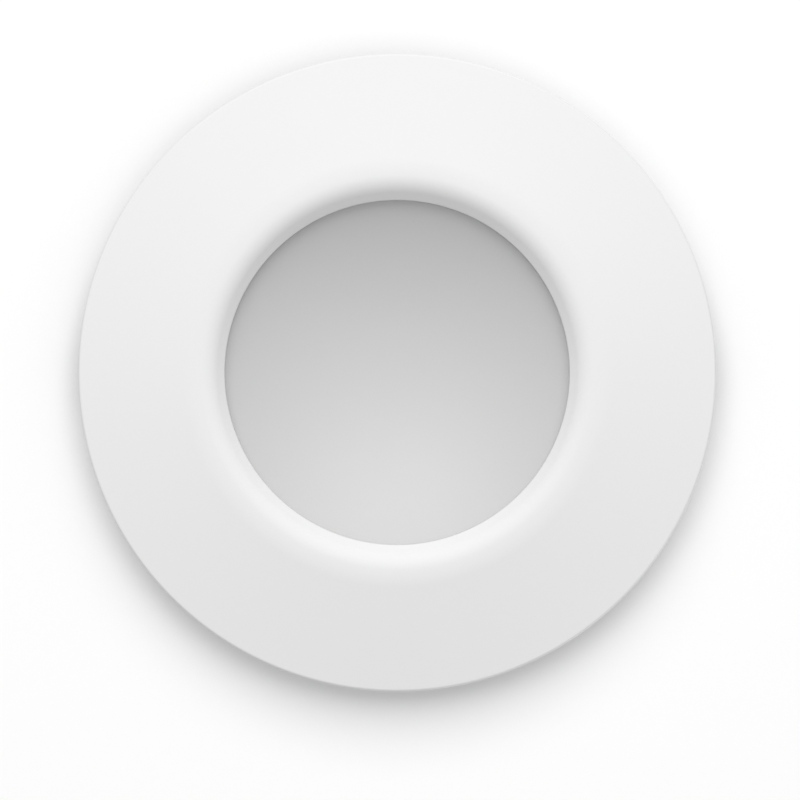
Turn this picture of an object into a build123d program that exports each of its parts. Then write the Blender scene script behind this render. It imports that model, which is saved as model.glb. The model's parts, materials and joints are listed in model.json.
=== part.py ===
"""Round recessed light for a porch or soffit ceiling, made as separate named pieces.

Lengths are in millimetres. +Z points up into the ceiling void and the light shines down, along -Z.
The origin lies on the light's axis, in the plane of the ceiling's face, where the gasket seats.
"""

import math
import os

from build123d import *

os.makedirs("parts", exist_ok=True)

# Clearances
SLIP = 0.10  # radial, a piece that slides into another
DROP_IN = 0.30  # radial, a piece laid into a recess
RUNNING = 0.05  # radial, a pin that something turns on
PRESSED = 0.02  # radial, a pin that stays put
TAPPED = 0.05  # radial, a screw in its thread
SCREW_CLEAR = 0.20  # radial, a screw through a plain hole
APART = 0.30  # between pieces that move past each other
TOUCH = 0.05  # between a wire or ring and what it bears on

# Cross-recess screws, one size throughout
SCREW_D = 2.5
SCREW_HEAD_D = 4.5
SCREW_HEAD_H = 1.7
SCREW_HEAD_ROUND = 0.6
RECESS_L = 2.4
RECESS_W = 0.6
RECESS_DEEP = 0.9
THREAD_SPARE = 0.4  # hole left below a screw's end

# Bezel: the white ring that shows below the ceiling
BEZEL_D = 90.0
BEZEL_EDGE_H = 2.4  # front of the outer edge, below the ceiling's face
BEZEL_EDGE_ROUND = 0.5
FACE_SLOPE = 13.0
LIP_D = 55.0  # lowest line of the rolled lip, between face and funnel
LIP_ROUND_OUT = 11.0
LIP_ROUND_IN = 3.0
FUNNEL_SLOPE = 52.0
APERTURE_D = 48.5
APERTURE_LAND = 0.9

# Gasket in the bezel's back
GASKET_T = 1.3
GASKET_PROUD = 0.5
GASKET_W = 5.5  # lies midway between the spigot and the bezel's outer edge

# Spigot that passes through the ceiling
CUTOUT_D = 70.0
SPIGOT_PLAY = 1.0
SPIGOT_H = 9.0
SPIGOT_WALL = 4.8
SPIGOT_CHAMFER = 0.5
BODY_SCREW_L = 8.0
BODY_SCREW_COUNT = 3
BODY_SCREW_EDGE = 0.35  # from the screw's head to the spigot's outside

# Diffuser, its seal and the reflector behind it
DIFFUSER_LAP = 2.8  # how far the disc reaches past the opening
DIFFUSER_T = 2.2
DIFFUSER_DISH = 7.0  # how far the disc is dished in, behind its rim
DIFFUSER_ROUND = 0.3
SEAL_T = 0.8
SEAL_W = 2.3
REFLECTOR_FLANGE_T = 1.5
REFLECTOR_WALL = 1.2
REFLECTOR_MOUTH = 0.3  # how far the mouth stands back from the opening
REFLECTOR_H = 14.1
REFLECTOR_GAP = 0.2

# Light board
BOARD_T = 1.6
BOARD_SCREW_L = 5.0
BOARD_SCREW_COUNT = 3
THERMAL_PAD_T = 0.4
CHIP_L = 3.5
CHIP_W = 2.8
CHIP_H = 0.8
CHIP_IN_R = 7.2  # inner ring of chips
CHIP_IN_COUNT = 6
CHIP_OUT_R = 12.9  # outer ring of chips
CHIP_OUT_COUNT = 12
CONNECTOR_L = 7.2
CONNECTOR_W = 5.0
CONNECTOR_H = 3.0
LEAD_D = 1.6
LEAD_PITCH = 2.8
LEAD_IN_CONNECTOR = 2.0
LEAD_PAST_BOARD = 0.8

# Heat sink
FLANGE_T = 2.5
FLANGE_INSET = 0.3
FLANGE_CHAMFER = 0.5
SKIRT_STEP = 0.6  # bezel's inner step, below the skirt's end
RING_D = 1.8  # section of the round seal on the skirt
RING_DROP = 3.0  # from the flange down to the seal
RING_SIDE = 0.3
DRUM_D = 56.0
CHAMBER_D = 47.0
SINK_BASE_T = 4.4
CLIP_FLAT = 26.0  # from the axis to the flats that carry the clips
PAD_DEEP = 8.0
PAD_SIDE = 1.0
PAD_OVER = 0.5
FIN_T = 1.4
FIN_COUNT = 11  # on each side, between the clips
FIN_FAN = 124.0
FIN_CORNER = 5.0
CORE_D = 18.0
LEAD_TUBE_D = 10.0
LEAD_BORE_D = 6.0
POST_D = 6.0
POST_CIRCLE_D = 40.0
DRIVER_AIR = 3.0  # air gap between fins and driver box

# Sprung clips, one on each side
CLIP_RISE = 9.2  # pin, above the roof of the light board's chamber
ARM_L = 25.5
ARM_STOP = 60.0  # steepest that an arm hangs, below the horizontal
ARM_T = 0.9
ARM_TIP_W = 7.6
ARM_NECK = 15.0  # where the arm starts to taper
ARM_SIDE = 0.35  # from the coil's ends to the arm's rails
PLATE_START = 11.5  # where the plate bridges the rails
EAR_R = 2.6
CAP_WALL = 0.8
CAP_LAP = 9.0
CAP_FIT = 0.03
CAP_ROUND = 0.5
TIP_REST = 2.2  # least height of the cap above the ceiling's face
BRACKET_T = 1.0
BRACKET_SIDE = 0.3
BRACKET_BELOW = 9.5
BRACKET_ABOVE = 13.0
BRACKET_FOOT = 9.0
BRACKET_SCREW_LOW = 6.6
BRACKET_SCREW_HIGH = 10.0
CLIP_SCREW_L = 6.0
PIN_D = 2.5
PIN_HEAD_D = 4.0
PIN_HEAD_T = 0.8

# Torsion spring of each clip
WIRE_D = 1.2
COIL_MEAN_D = 4.8
COIL_GAP = 0.6
COIL_TURNS = 5
COIL_BACK = 0.2  # from the coil to the bracket
LEG_BACK = 11.0  # height at which the fixed leg meets the bracket, above the pin
LEG_ARM = 14.0  # distance from the pin at which the other leg meets the arm

# Driver box
BOX_D = 62.0
BOX_FLAT_INSET = 0.5  # sides stand in from the clip flats
BOX_END_INSET = 2.5  # flat end wall that takes the cable, in from the round
BOX_WALL = 1.8
BOX_ROUND = 3.0
BOX_FOOT_ROUND = 1.0
BOX_FLOOR = 2.0
BASE_SCREW_L = 8.0
BOARD_POST_H = 3.0
BOARD_POST_D = 5.0
BOARD_POST_X = 21.0
BOARD_POST_Y = 11.0
DRIVER_BOARD_T = 1.6
DRIVER_BOARD_FRONT = -15.8
DRIVER_BOARD_SCREW_L = 4.5
COVER_BOSS_D = 6.0
COVER_BOSS_TURN = 57.5
COVER_SCREW_L = 7.0
COVER_T = 2.0
COVER_ROUND = 0.5
COVER_EDGE = -5.2
PARTITION_T = 1.4

# Parts soldered to the driver board: middles in plan, then sizes
CORE_AT = 14.0
CORE_X = 18.0
CORE_Y = 8.0
CORE_Z = 8.0
CORE_LEG = 2.4
CORE_YOKE = 1.6
WINDING_OUT = 3.0
CAPACITOR_AT = (-14.6, 10.4)
CAPACITOR_D = 7.6
CAPACITOR_L = 13.0
FILM_AT = (-8.4, 0.0)
FILM_X = 10.0
FILM_Y = 5.0
FILM_Z = 7.6
CHOKE_AT = (14.4, 12.0)
CHOKE_D = 8.0
CHOKE_H = 7.6
CHOKE_RIM = 1.2
BRIDGE_AT = (7.4, -0.4)
BRIDGE_X = 6.0
BRIDGE_Y = 4.4
CONTROL_AT = (14.4, 1.0)
CONTROL_X = 5.0
CONTROL_Y = 4.0
DRIVER_CHIP_H = 2.0
FUSE_AT = (8.0, 4.6)
FUSE_D = 3.0
FUSE_L = 8.0
PART_ROUND = 0.5

# Terminal block and its release buttons
TERMINAL_W = 26.0
TERMINAL_FRONT = -15.2
TERMINAL_BACK = -6.2
TERMINAL_H = 8.0
TERMINAL_PITCH = 8.2
PORT_SIZE = 3.2
PORT_FLOOR = 1.2
PORT_DEEP = 7.2
BUTTON_X = 4.0
BUTTON_Y = 2.8
BUTTON_AT = 2.9  # from the block's front face to the button's middle
BUTTON_PROUD = 1.0
BUTTON_TRAVEL = 1.2
BUTTON_FIT = 0.15
BUTTON_COVER_GAP = 1.0  # from the buttons to the terminal cover
CONTACT_T = 0.6
CONTACT_W = 2.6
CONTACT_PIN = 1.0

# Cable inlet
CABLE_D = 7.6
GROMMET_NECK_D = 10.4
GROMMET_OUT_D = 13.0
GROMMET_IN_D = 12.4
GROMMET_FLANGE_T = 1.5

# Hinged terminal cover
HINGE_R = 2.0
HINGE_RISE = 1.2
HINGE_PIN_D = 1.8
LUG_W = 4.5
LATCH_X = 9.3
LATCH_W = 4.0
LATCH_T = 1.2
LATCH_BITE = 0.2
LATCH_DROP = 5.2
WINDOW_H = 2.6
WINDOW_DROP = 2.3

# Radii and heights that follow from the sizes above
screw_r = SCREW_D / 2
head_r = SCREW_HEAD_D / 2
screw_hole_r = screw_r + SCREW_CLEAR
thread_r = screw_r + TAPPED

bezel_r = BEZEL_D / 2
aperture_r = APERTURE_D / 2
lip_r = LIP_D / 2
face_slope = math.radians(FACE_SLOPE)
funnel_slope = math.radians(FUNNEL_SLOPE)
face_in_r = lip_r + LIP_ROUND_OUT * math.sin(face_slope)
face_in_z = -BEZEL_EDGE_H - (bezel_r - face_in_r) * math.tan(face_slope)
lip_z = face_in_z - LIP_ROUND_OUT * (1 - math.cos(face_slope))
funnel_out_r = lip_r - LIP_ROUND_IN * math.sin(funnel_slope)
funnel_out_z = lip_z + LIP_ROUND_IN * (1 - math.cos(funnel_slope))
funnel_z = funnel_out_z + (funnel_out_r - aperture_r) * math.tan(funnel_slope)
ledge_z = funnel_z + APERTURE_LAND
bezel_back_z = -GASKET_PROUD
spigot_r = CUTOUT_D / 2 - SPIGOT_PLAY
gasket_out_r = (bezel_r + spigot_r + GASKET_W) / 2
gasket_in_r = gasket_out_r - GASKET_W
bore_r = spigot_r - SPIGOT_WALL
diffuser_r = aperture_r + DIFFUSER_LAP
seat_r = diffuser_r + DROP_IN

diffuser_z = ledge_z + SEAL_T
diffuser_back_z = diffuser_z + DIFFUSER_T
skirt_end_z = diffuser_back_z + REFLECTOR_FLANGE_T
throat_z = diffuser_back_z + REFLECTOR_H
board_z = throat_z + REFLECTOR_GAP
board_back_z = board_z + BOARD_T
chamber_top_z = board_back_z + THERMAL_PAD_T
drum_top_z = chamber_top_z + SINK_BASE_T
flange_top_z = SPIGOT_H + FLANGE_T

chamber_r = CHAMBER_D / 2
drum_r = DRUM_D / 2
board_r = chamber_r - DROP_IN
board_screw_r = board_r - head_r - DROP_IN
mouth_r = aperture_r + REFLECTOR_MOUTH
head_share = (SCREW_HEAD_H - REFLECTOR_GAP) / REFLECTOR_H
throat_room = board_screw_r - head_r - APART - REFLECTOR_WALL
throat_r = (throat_room - mouth_r * head_share) / (1 - head_share)
mouth_fall = (mouth_r - throat_r) / REFLECTOR_H
root_r = mouth_r - mouth_fall * REFLECTOR_FLANGE_T + REFLECTOR_WALL
skirt_r = bore_r - SLIP
body_screw_r = spigot_r - head_r - BODY_SCREW_EDGE
ring_r = bore_r - RING_D / 2 - TOUCH
ring_z = SPIGOT_H - RING_DROP

coil_r = COIL_MEAN_D / 2
wire_r = WIRE_D / 2
coil_pitch = WIRE_D + COIL_GAP
bracket_face = CLIP_FLAT + BRACKET_T
pin_x = bracket_face + COIL_BACK + wire_r + coil_r
cap_half = ARM_T / 2 + CAP_WALL
arm_reach = ARM_L + CAP_WALL
pin_z = chamber_top_z + CLIP_RISE
# The arm hangs on its stop, or at the tilt that brings its cap's lowest edge to its rest height
cap_tilt = math.asin((pin_z - TIP_REST) / math.hypot(arm_reach, cap_half)) - math.atan2(cap_half, arm_reach)
tilt = min(cap_tilt, math.radians(ARM_STOP))
rail_in = COIL_TURNS * coil_pitch / 2 + wire_r + ARM_SIDE
arm_half = rail_in + ARM_T
rail_end = ARM_NECK - ARM_T / 2
bracket_in = arm_half + BRACKET_SIDE
bracket_half = bracket_in + BRACKET_T
fin_top_z = pin_z + BRACKET_ABOVE + PAD_OVER

box_z = fin_top_z + DRIVER_AIR
floor_z = box_z + BOX_FLOOR
driver_board_z = floor_z + BOARD_POST_H
driver_top_z = driver_board_z + DRIVER_BOARD_T
terminal_top_z = driver_top_z + TERMINAL_H
box_top_z = terminal_top_z + BUTTON_PROUD + BUTTON_COVER_GAP
cover_top_z = box_top_z + COVER_T
box_r = BOX_D / 2
box_flat = CLIP_FLAT - BOX_FLAT_INSET
box_end = box_r - BOX_END_INSET
inlet_h = GROMMET_IN_D / 2 + DROP_IN
inlet_z = floor_z + inlet_h
hinge_y = COVER_EDGE - HINGE_R - APART
hinge_z = box_top_z + HINGE_RISE
lid_edge = hinge_y - HINGE_R - APART
lug_in = box_flat - BOX_WALL - APART - LUG_W
lead_x = LEAD_PITCH / 2
lead_hole_r = LEAD_D / 2 + SLIP


def ring_spots(radius, count, start=90.0):
    """Points evenly spaced round a circle."""
    turns = [math.radians(start + 360.0 * i / count) for i in range(count)]
    return [(radius * math.cos(t), radius * math.sin(t)) for t in turns]


body_screw_spots = ring_spots(body_screw_r, BODY_SCREW_COUNT)
board_screw_spots = ring_spots(board_screw_r, BOARD_SCREW_COUNT)
post_spots = ring_spots(POST_CIRCLE_D / 2, 4, 45.0)
board_post_spots = [(x * BOARD_POST_X, y * BOARD_POST_Y) for x in (-1, 1) for y in (-1, 1)]
boss_ring_r = box_r - BOX_WALL / 2 - COVER_BOSS_D / 2
boss_side_x = box_flat - BOX_WALL / 2 - COVER_BOSS_D / 2
boss_x = boss_ring_r * math.cos(math.radians(COVER_BOSS_TURN))
boss_y = boss_ring_r * math.sin(math.radians(COVER_BOSS_TURN))
cover_spots = [(-boss_x, boss_y), (boss_x, boss_y), (-boss_side_x, 0.0), (boss_side_x, 0.0)]
lead_spots = [(-lead_x, 0.0), (lead_x, 0.0)]
poles = [-TERMINAL_PITCH, 0.0, TERMINAL_PITCH]


def save(piece, name):
    """Names a finished piece and writes it to its own file."""
    piece.label = name
    export_step(piece, f"parts/{name}.step")


def level(z):
    """Horizontal plane at a height, facing up."""
    return Plane.XY.offset(z)


def radial_plane(turn):
    """Upright plane through the light's axis: local x runs outward, local y runs up."""
    c, s = math.cos(math.radians(turn)), math.sin(math.radians(turn))
    return Plane(origin=(0, 0, 0), x_dir=(c, s, 0), z_dir=(s, -c, 0))


def bracket_plane(turn):
    """Outer face of a clip's bracket: local x runs sideways, local y runs up."""
    c, s = math.cos(math.radians(turn)), math.sin(math.radians(turn))
    return Plane(origin=(bracket_face * c, bracket_face * s, 0), x_dir=(-s, c, 0), z_dir=(c, s, 0))


def arm_planes(turn):
    """Side plane and plan plane of a clip's arm at rest, both from the pin, with local x along the arm."""
    side = radial_plane(turn)
    pin = side.from_local_coords(Vector(pin_x, pin_z, 0))
    along = side.x_dir * math.cos(tilt) - side.y_dir * math.sin(tilt)
    above = side.x_dir * math.sin(tilt) + side.y_dir * math.cos(tilt)
    return Plane(pin, x_dir=along, z_dir=side.z_dir), Plane(pin, x_dir=along, z_dir=above)


def rounds(face, spots, radius):
    """Circles of one radius on a plane."""
    with BuildSketch(face) as outline:
        with Locations(*spots):
            Circle(radius)
    return outline.sketch


def box_outline(z, inset, y_low=-box_end, y_high=BOX_D):
    """Driver box outline at a height: a circle with two flat sides and a flat end, drawn in by an inset."""
    low = max(y_low, -box_end + inset)
    with BuildSketch(level(z)) as outline:
        Circle(box_r - inset)
        with Locations((0, (box_r - box_end + inset) / 2)):
            Rectangle(2 * (box_flat - inset), box_r + box_end - inset, mode=Mode.INTERSECT)
        fillet(outline.vertices(), BOX_ROUND - inset)
        with Locations((0, (low + y_high) / 2)):
            Rectangle(2 * box_r, y_high - low, mode=Mode.INTERSECT)
    return outline.sketch


def cross_screws(face, spots, length):
    """Pan-head screws with a cross recess, seated on a plane and driven in against its normal."""
    with BuildPart() as screws:
        extrude(rounds(face, spots, head_r), amount=SCREW_HEAD_H)
        tops = screws.edges().filter_by(GeomType.CIRCLE).group_by(Axis(face.origin, face.z_dir))[-1]
        fillet(tops, SCREW_HEAD_ROUND)
        extrude(rounds(face, spots, screw_r), amount=-length)
        with BuildSketch(face.offset(SCREW_HEAD_H)):
            with Locations(*spots):
                Rectangle(RECESS_L, RECESS_W)
                Rectangle(RECESS_W, RECESS_L)
        extrude(amount=-RECESS_DEEP, mode=Mode.SUBTRACT)
    return screws.part


# Bezel: one turned ring with face, lip, funnel, diffuser seat, spigot and gasket channel
with BuildPart() as bezel:
    with BuildSketch(Plane.XZ) as bezel_section:
        with BuildLine():
            Polyline(
                (aperture_r, funnel_z),
                (aperture_r, ledge_z),
                (seat_r, ledge_z),
                (seat_r, skirt_end_z - SKIRT_STEP),
                (bore_r, skirt_end_z - SKIRT_STEP),
                (bore_r, SPIGOT_H),
                (spigot_r - SPIGOT_CHAMFER, SPIGOT_H),
                (spigot_r, SPIGOT_H - SPIGOT_CHAMFER),
                (spigot_r, bezel_back_z),
                (gasket_in_r - SLIP, bezel_back_z),
                (gasket_in_r - SLIP, -GASKET_T),
                (gasket_out_r + SLIP, -GASKET_T),
                (gasket_out_r + SLIP, bezel_back_z),
                (bezel_r, bezel_back_z),
                (bezel_r, -BEZEL_EDGE_H),
                (face_in_r, face_in_z),
            )
            TangentArc((lip_r, lip_z), (face_in_r, face_in_z), tangent=(1, 0))
            TangentArc((lip_r, lip_z), (funnel_out_r, funnel_out_z), tangent=(-1, 0))
            Line((funnel_out_r, funnel_out_z), (aperture_r, funnel_z))
        make_face()
        fillet(bezel_section.vertices().group_by(Axis.X)[-1].sort_by(Axis.Y)[0], BEZEL_EDGE_ROUND)
    revolve(axis=Axis.Z)
    bezel_bite = BODY_SCREW_L - FLANGE_T + THREAD_SPARE
    extrude(rounds(level(SPIGOT_H), body_screw_spots, thread_r), amount=-bezel_bite, mode=Mode.SUBTRACT)
save(bezel.part, "bezel")

# Ceiling gasket
with BuildPart() as ceiling_gasket:
    with BuildSketch(level(-GASKET_T)):
        Circle(gasket_out_r)
        Circle(gasket_in_r, mode=Mode.SUBTRACT)
    extrude(amount=GASKET_T)
save(ceiling_gasket.part, "ceiling_gasket")

# Diffuser and its seal
with BuildPart() as diffuser_seal:
    with BuildSketch(level(ledge_z)):
        Circle(diffuser_r)
        Circle(diffuser_r - SEAL_W, mode=Mode.SUBTRACT)
    extrude(amount=SEAL_T)
save(diffuser_seal.part, "diffuser_seal")

with BuildPart() as diffuser:
    with BuildSketch(Plane.XZ) as diffuser_section:
        with BuildLine():
            dish_z = diffuser_z + DIFFUSER_DISH
            TangentArc((0, dish_z), (aperture_r, diffuser_z), tangent=(1, 0))
            Polyline(
                (aperture_r, diffuser_z),
                (diffuser_r, diffuser_z),
                (diffuser_r, diffuser_back_z),
                (aperture_r, diffuser_back_z),
            )
            TangentArc((0, dish_z + DIFFUSER_T), (aperture_r, diffuser_back_z), tangent=(1, 0))
            Line((0, dish_z), (0, dish_z + DIFFUSER_T))
        make_face()
        fillet(diffuser_section.vertices().group_by(Axis.X)[-1], DIFFUSER_ROUND)
    revolve(axis=Axis.Z)
save(diffuser.part, "diffuser")

# Reflector: its flange lies on the diffuser and the skirt of the heat sink presses on it
with BuildPart() as reflector:
    with BuildSketch(Plane.XZ):
        with BuildLine():
            Polyline(
                (mouth_r, diffuser_back_z),
                (diffuser_r, diffuser_back_z),
                (diffuser_r, skirt_end_z),
                (root_r, skirt_end_z),
                (throat_r + REFLECTOR_WALL, throat_z),
                (throat_r, throat_z),
                close=True,
            )
        make_face()
    revolve(axis=Axis.Z)
save(reflector.part, "reflector")

# Light board: its chips face down and its connector takes the leads from behind
with BuildPart() as led_board:
    with BuildSketch(level(board_z)):
        Circle(board_r)
        Circle(LEAD_BORE_D / 2, mode=Mode.SUBTRACT)
        with Locations(*board_screw_spots):
            Circle(screw_hole_r, mode=Mode.SUBTRACT)
    extrude(amount=BOARD_T)
save(led_board.part, "led_board")

with BuildPart() as led_chips:
    with BuildSketch(level(board_z)):
        with PolarLocations(CHIP_IN_R, CHIP_IN_COUNT):
            Rectangle(CHIP_L, CHIP_W)
        with PolarLocations(CHIP_OUT_R, CHIP_OUT_COUNT):
            Rectangle(CHIP_L, CHIP_W)
    extrude(amount=-CHIP_H)
save(led_chips.part, "led_chips")

with BuildPart() as board_connector:
    with BuildSketch(level(board_z)):
        Rectangle(CONNECTOR_L, CONNECTOR_W)
    extrude(amount=-CONNECTOR_H)
    socket_deep = LEAD_IN_CONNECTOR + SLIP
    extrude(rounds(level(board_z), lead_spots, lead_hole_r), amount=-socket_deep, mode=Mode.SUBTRACT)
    fillet(board_connector.edges().filter_by(Axis.Z), PART_ROUND)
save(board_connector.part, "board_connector")

with BuildPart() as thermal_pad:
    with BuildSketch(level(board_back_z)):
        Circle(board_r)
        Circle(LEAD_BORE_D / 2, mode=Mode.SUBTRACT)
        with Locations(*board_screw_spots):
            Circle(screw_hole_r, mode=Mode.SUBTRACT)
    extrude(amount=THERMAL_PAD_T)
save(thermal_pad.part, "thermal_pad")

board_front = Plane(origin=(0, 0, board_z), x_dir=(1, 0, 0), z_dir=(0, 0, -1))
board_front_spots = [(x, -y) for x, y in board_screw_spots]
board_screws = cross_screws(board_front, board_front_spots, BOARD_SCREW_L)
save(board_screws, "board_screws")

# Heat sink: turned skirt, flange and drum, then clip pads, fins, posts and lead tube
with BuildPart() as heat_sink:
    with BuildSketch(Plane.XZ):
        with BuildLine():
            Polyline(
                (root_r + DROP_IN, skirt_end_z),
                (skirt_r, skirt_end_z),
                (skirt_r, ring_z - RING_D / 2 - RING_SIDE),
                (ring_r - RING_D / 2 - TOUCH, ring_z - RING_D / 2 - RING_SIDE),
                (ring_r - RING_D / 2 - TOUCH, ring_z + RING_D / 2 + RING_SIDE),
                (skirt_r, ring_z + RING_D / 2 + RING_SIDE),
                (skirt_r, SPIGOT_H),
                (spigot_r - FLANGE_INSET, SPIGOT_H),
                (spigot_r - FLANGE_INSET, flange_top_z - FLANGE_CHAMFER),
                (spigot_r - FLANGE_INSET - FLANGE_CHAMFER, flange_top_z),
                (drum_r, flange_top_z),
                (drum_r, drum_top_z),
                (LEAD_BORE_D / 2, drum_top_z),
                (LEAD_BORE_D / 2, chamber_top_z),
                (chamber_r, chamber_top_z),
                (chamber_r, SPIGOT_H),
                (root_r + DROP_IN, SPIGOT_H),
                close=True,
            )
        make_face()
    revolve(axis=Axis.Z)
    fin_step = FIN_FAN / (FIN_COUNT - 1)
    fin_turns = [side - FIN_FAN / 2 + fin_step * i for side in (90, 270) for i in range(FIN_COUNT)]
    with BuildSketch(*[radial_plane(turn) for turn in fin_turns]):
        with BuildLine():
            Polyline(
                (CORE_D / 2 - FIN_T, drum_top_z),
                (drum_r, drum_top_z),
                (drum_r, fin_top_z - FIN_CORNER),
                (drum_r - FIN_CORNER, fin_top_z),
                (CORE_D / 2 - FIN_T, fin_top_z),
                close=True,
            )
        make_face()
    extrude(amount=FIN_T / 2, both=True)
    with BuildSketch(level(drum_top_z)):
        Circle(CORE_D / 2)
        Circle(LEAD_BORE_D / 2, mode=Mode.SUBTRACT)
    extrude(amount=fin_top_z - drum_top_z)
    with BuildSketch(level(fin_top_z)):
        Circle(LEAD_TUBE_D / 2)
        Circle(LEAD_BORE_D / 2, mode=Mode.SUBTRACT)
    extrude(amount=DRIVER_AIR + BOX_FLOOR)
    extrude(rounds(level(drum_top_z), post_spots, POST_D / 2), amount=box_z - drum_top_z)
    with BuildSketch(level(flange_top_z)):
        with Locations((CLIP_FLAT + drum_r, 0), (-CLIP_FLAT - drum_r, 0)):
            Rectangle(2 * drum_r, 4 * drum_r)
    extrude(amount=fin_top_z - flange_top_z, mode=Mode.SUBTRACT)
    with BuildSketch(level(drum_top_z)):
        with Locations((CLIP_FLAT - PAD_DEEP / 2, 0), (PAD_DEEP / 2 - CLIP_FLAT, 0)):
            Rectangle(PAD_DEEP, 2 * (bracket_half + PAD_SIDE))
    extrude(amount=fin_top_z - drum_top_z)
    flange_holes = rounds(level(flange_top_z), body_screw_spots, screw_hole_r)
    extrude(flange_holes, amount=-FLANGE_T, mode=Mode.SUBTRACT)
    board_bite = BOARD_SCREW_L - BOARD_T - THERMAL_PAD_T + THREAD_SPARE
    board_holes = rounds(level(chamber_top_z), board_screw_spots, thread_r)
    extrude(board_holes, amount=board_bite, mode=Mode.SUBTRACT)
    post_bite = BASE_SCREW_L - BOX_FLOOR + THREAD_SPARE
    extrude(rounds(level(box_z), post_spots, thread_r), amount=-post_bite, mode=Mode.SUBTRACT)
    clip_bite = CLIP_SCREW_L - BRACKET_T + THREAD_SPARE
    clip_spots = [(0, pin_z - BRACKET_SCREW_LOW), (0, pin_z + BRACKET_SCREW_HIGH)]
    for turn in (0, 180):
        flat = bracket_plane(turn).offset(-BRACKET_T)
        extrude(rounds(flat, clip_spots, thread_r), amount=-clip_bite, mode=Mode.SUBTRACT)
save(heat_sink.part, "heat_sink")

with BuildPart() as heat_sink_seal:
    with BuildSketch(Plane.XZ):
        with Locations((ring_r, ring_z)):
            Circle(RING_D / 2)
    revolve(axis=Axis.Z)
save(heat_sink_seal.part, "heat_sink_seal")

heat_sink_screws = cross_screws(level(flange_top_z), body_screw_spots, BODY_SCREW_L)
save(heat_sink_screws, "heat_sink_screws")


# Sprung clips
def clip_bracket(turn):
    """U-shaped bracket: a plate on the heat sink's flat and two ears that carry the pin."""
    side = radial_plane(turn)
    middle = bracket_half - BRACKET_T / 2
    with BuildPart() as bracket:
        with BuildSketch(side):
            with Locations((CLIP_FLAT + BRACKET_T / 2, pin_z + (BRACKET_ABOVE - BRACKET_BELOW) / 2)):
                Rectangle(BRACKET_T, BRACKET_ABOVE + BRACKET_BELOW)
        extrude(amount=bracket_half, both=True)
        with BuildSketch(side.offset(-middle), side.offset(middle)):
            with Locations((pin_x, pin_z)):
                Circle(EAR_R)
            with Locations((CLIP_FLAT + BRACKET_T / 2, pin_z)):
                Rectangle(BRACKET_T, BRACKET_FOOT)
            make_hull()
        extrude(amount=BRACKET_T / 2, both=True)
        pin_hole = rounds(side, [(pin_x, pin_z)], PIN_D / 2 + PRESSED)
        extrude(pin_hole, amount=2 * bracket_half, both=True, mode=Mode.SUBTRACT)
        plate = bracket_plane(turn)
        extrude(rounds(plate, clip_spots, screw_hole_r), amount=-BRACKET_T, mode=Mode.SUBTRACT)
    return bracket.part


def clip_pin(turn):
    """Riveted pin through the bracket's ears."""
    side = radial_plane(turn)
    with BuildPart() as pin:
        extrude(rounds(side, [(pin_x, pin_z)], PIN_D / 2), amount=bracket_half, both=True)
        heads = rounds(side.offset(bracket_half), [(pin_x, pin_z)], PIN_HEAD_D / 2)
        extrude(heads, amount=PIN_HEAD_T)
        heads = rounds(side.offset(-bracket_half), [(pin_x, pin_z)], PIN_HEAD_D / 2)
        extrude(heads, amount=-PIN_HEAD_T)
    return pin.part


def arm_half_width(along):
    """Half the width of an arm's plate at a distance from the pin."""
    share = (along - ARM_NECK) / (ARM_L - ARM_NECK)
    return arm_half - (arm_half - ARM_TIP_W / 2) * min(max(share, 0.0), 1.0)


def clip_arm(turn):
    """Stamped arm: two rails that turn on the pin, bridged by a plate that tapers to the tip."""
    side, plan = arm_planes(turn)
    middle = arm_half - ARM_T / 2
    with BuildPart() as arm:
        with BuildSketch(plan):
            with BuildLine():
                Polyline(
                    (PLATE_START, -arm_half),
                    (ARM_NECK, -arm_half),
                    (ARM_L, -ARM_TIP_W / 2),
                    (ARM_L, ARM_TIP_W / 2),
                    (ARM_NECK, arm_half),
                    (PLATE_START, arm_half),
                    close=True,
                )
            make_face()
        extrude(amount=ARM_T / 2, both=True)
        with BuildSketch(side.offset(-middle), side.offset(middle)):
            Circle(EAR_R)
            with Locations((rail_end, 0)):
                Circle(ARM_T / 2)
            make_hull()
        extrude(amount=ARM_T / 2, both=True)
        pin_hole = rounds(side, [(0, 0)], PIN_D / 2 + RUNNING)
        extrude(pin_hole, amount=2 * arm_half, both=True, mode=Mode.SUBTRACT)
    return arm.part


def clip_cap(turn):
    """Soft cap pushed over an arm's tip, so that the arm doesn't scratch the ceiling board."""
    side, plan = arm_planes(turn)
    start = ARM_L - CAP_LAP
    with BuildPart() as cap:
        with BuildSketch(plan):
            with BuildLine():
                Polyline(
                    (start, -arm_half_width(start) - CAP_WALL),
                    (arm_reach, -ARM_TIP_W / 2 - CAP_WALL),
                    (arm_reach, ARM_TIP_W / 2 + CAP_WALL),
                    (start, arm_half_width(start) + CAP_WALL),
                    close=True,
                )
            make_face()
        extrude(amount=cap_half, both=True)
        fillet(cap.edges(), CAP_ROUND)
        with BuildSketch(plan):
            with BuildLine():
                Polyline(
                    (start - CAP_WALL, -arm_half_width(start - CAP_WALL) - CAP_FIT),
                    (ARM_L + CAP_FIT, -ARM_TIP_W / 2 - CAP_FIT),
                    (ARM_L + CAP_FIT, ARM_TIP_W / 2 + CAP_FIT),
                    (start - CAP_WALL, arm_half_width(start - CAP_WALL) + CAP_FIT),
                    close=True,
                )
            make_face()
        extrude(amount=ARM_T / 2 + CAP_FIT, both=True, mode=Mode.SUBTRACT)
    return cap.part


def tangent_turn(x, y, radius, sense):
    """Angle on a circle about the origin from which a tangent line reaches a point."""
    return math.atan2(y, x) + sense * math.acos(radius / math.hypot(x, y))


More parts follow.
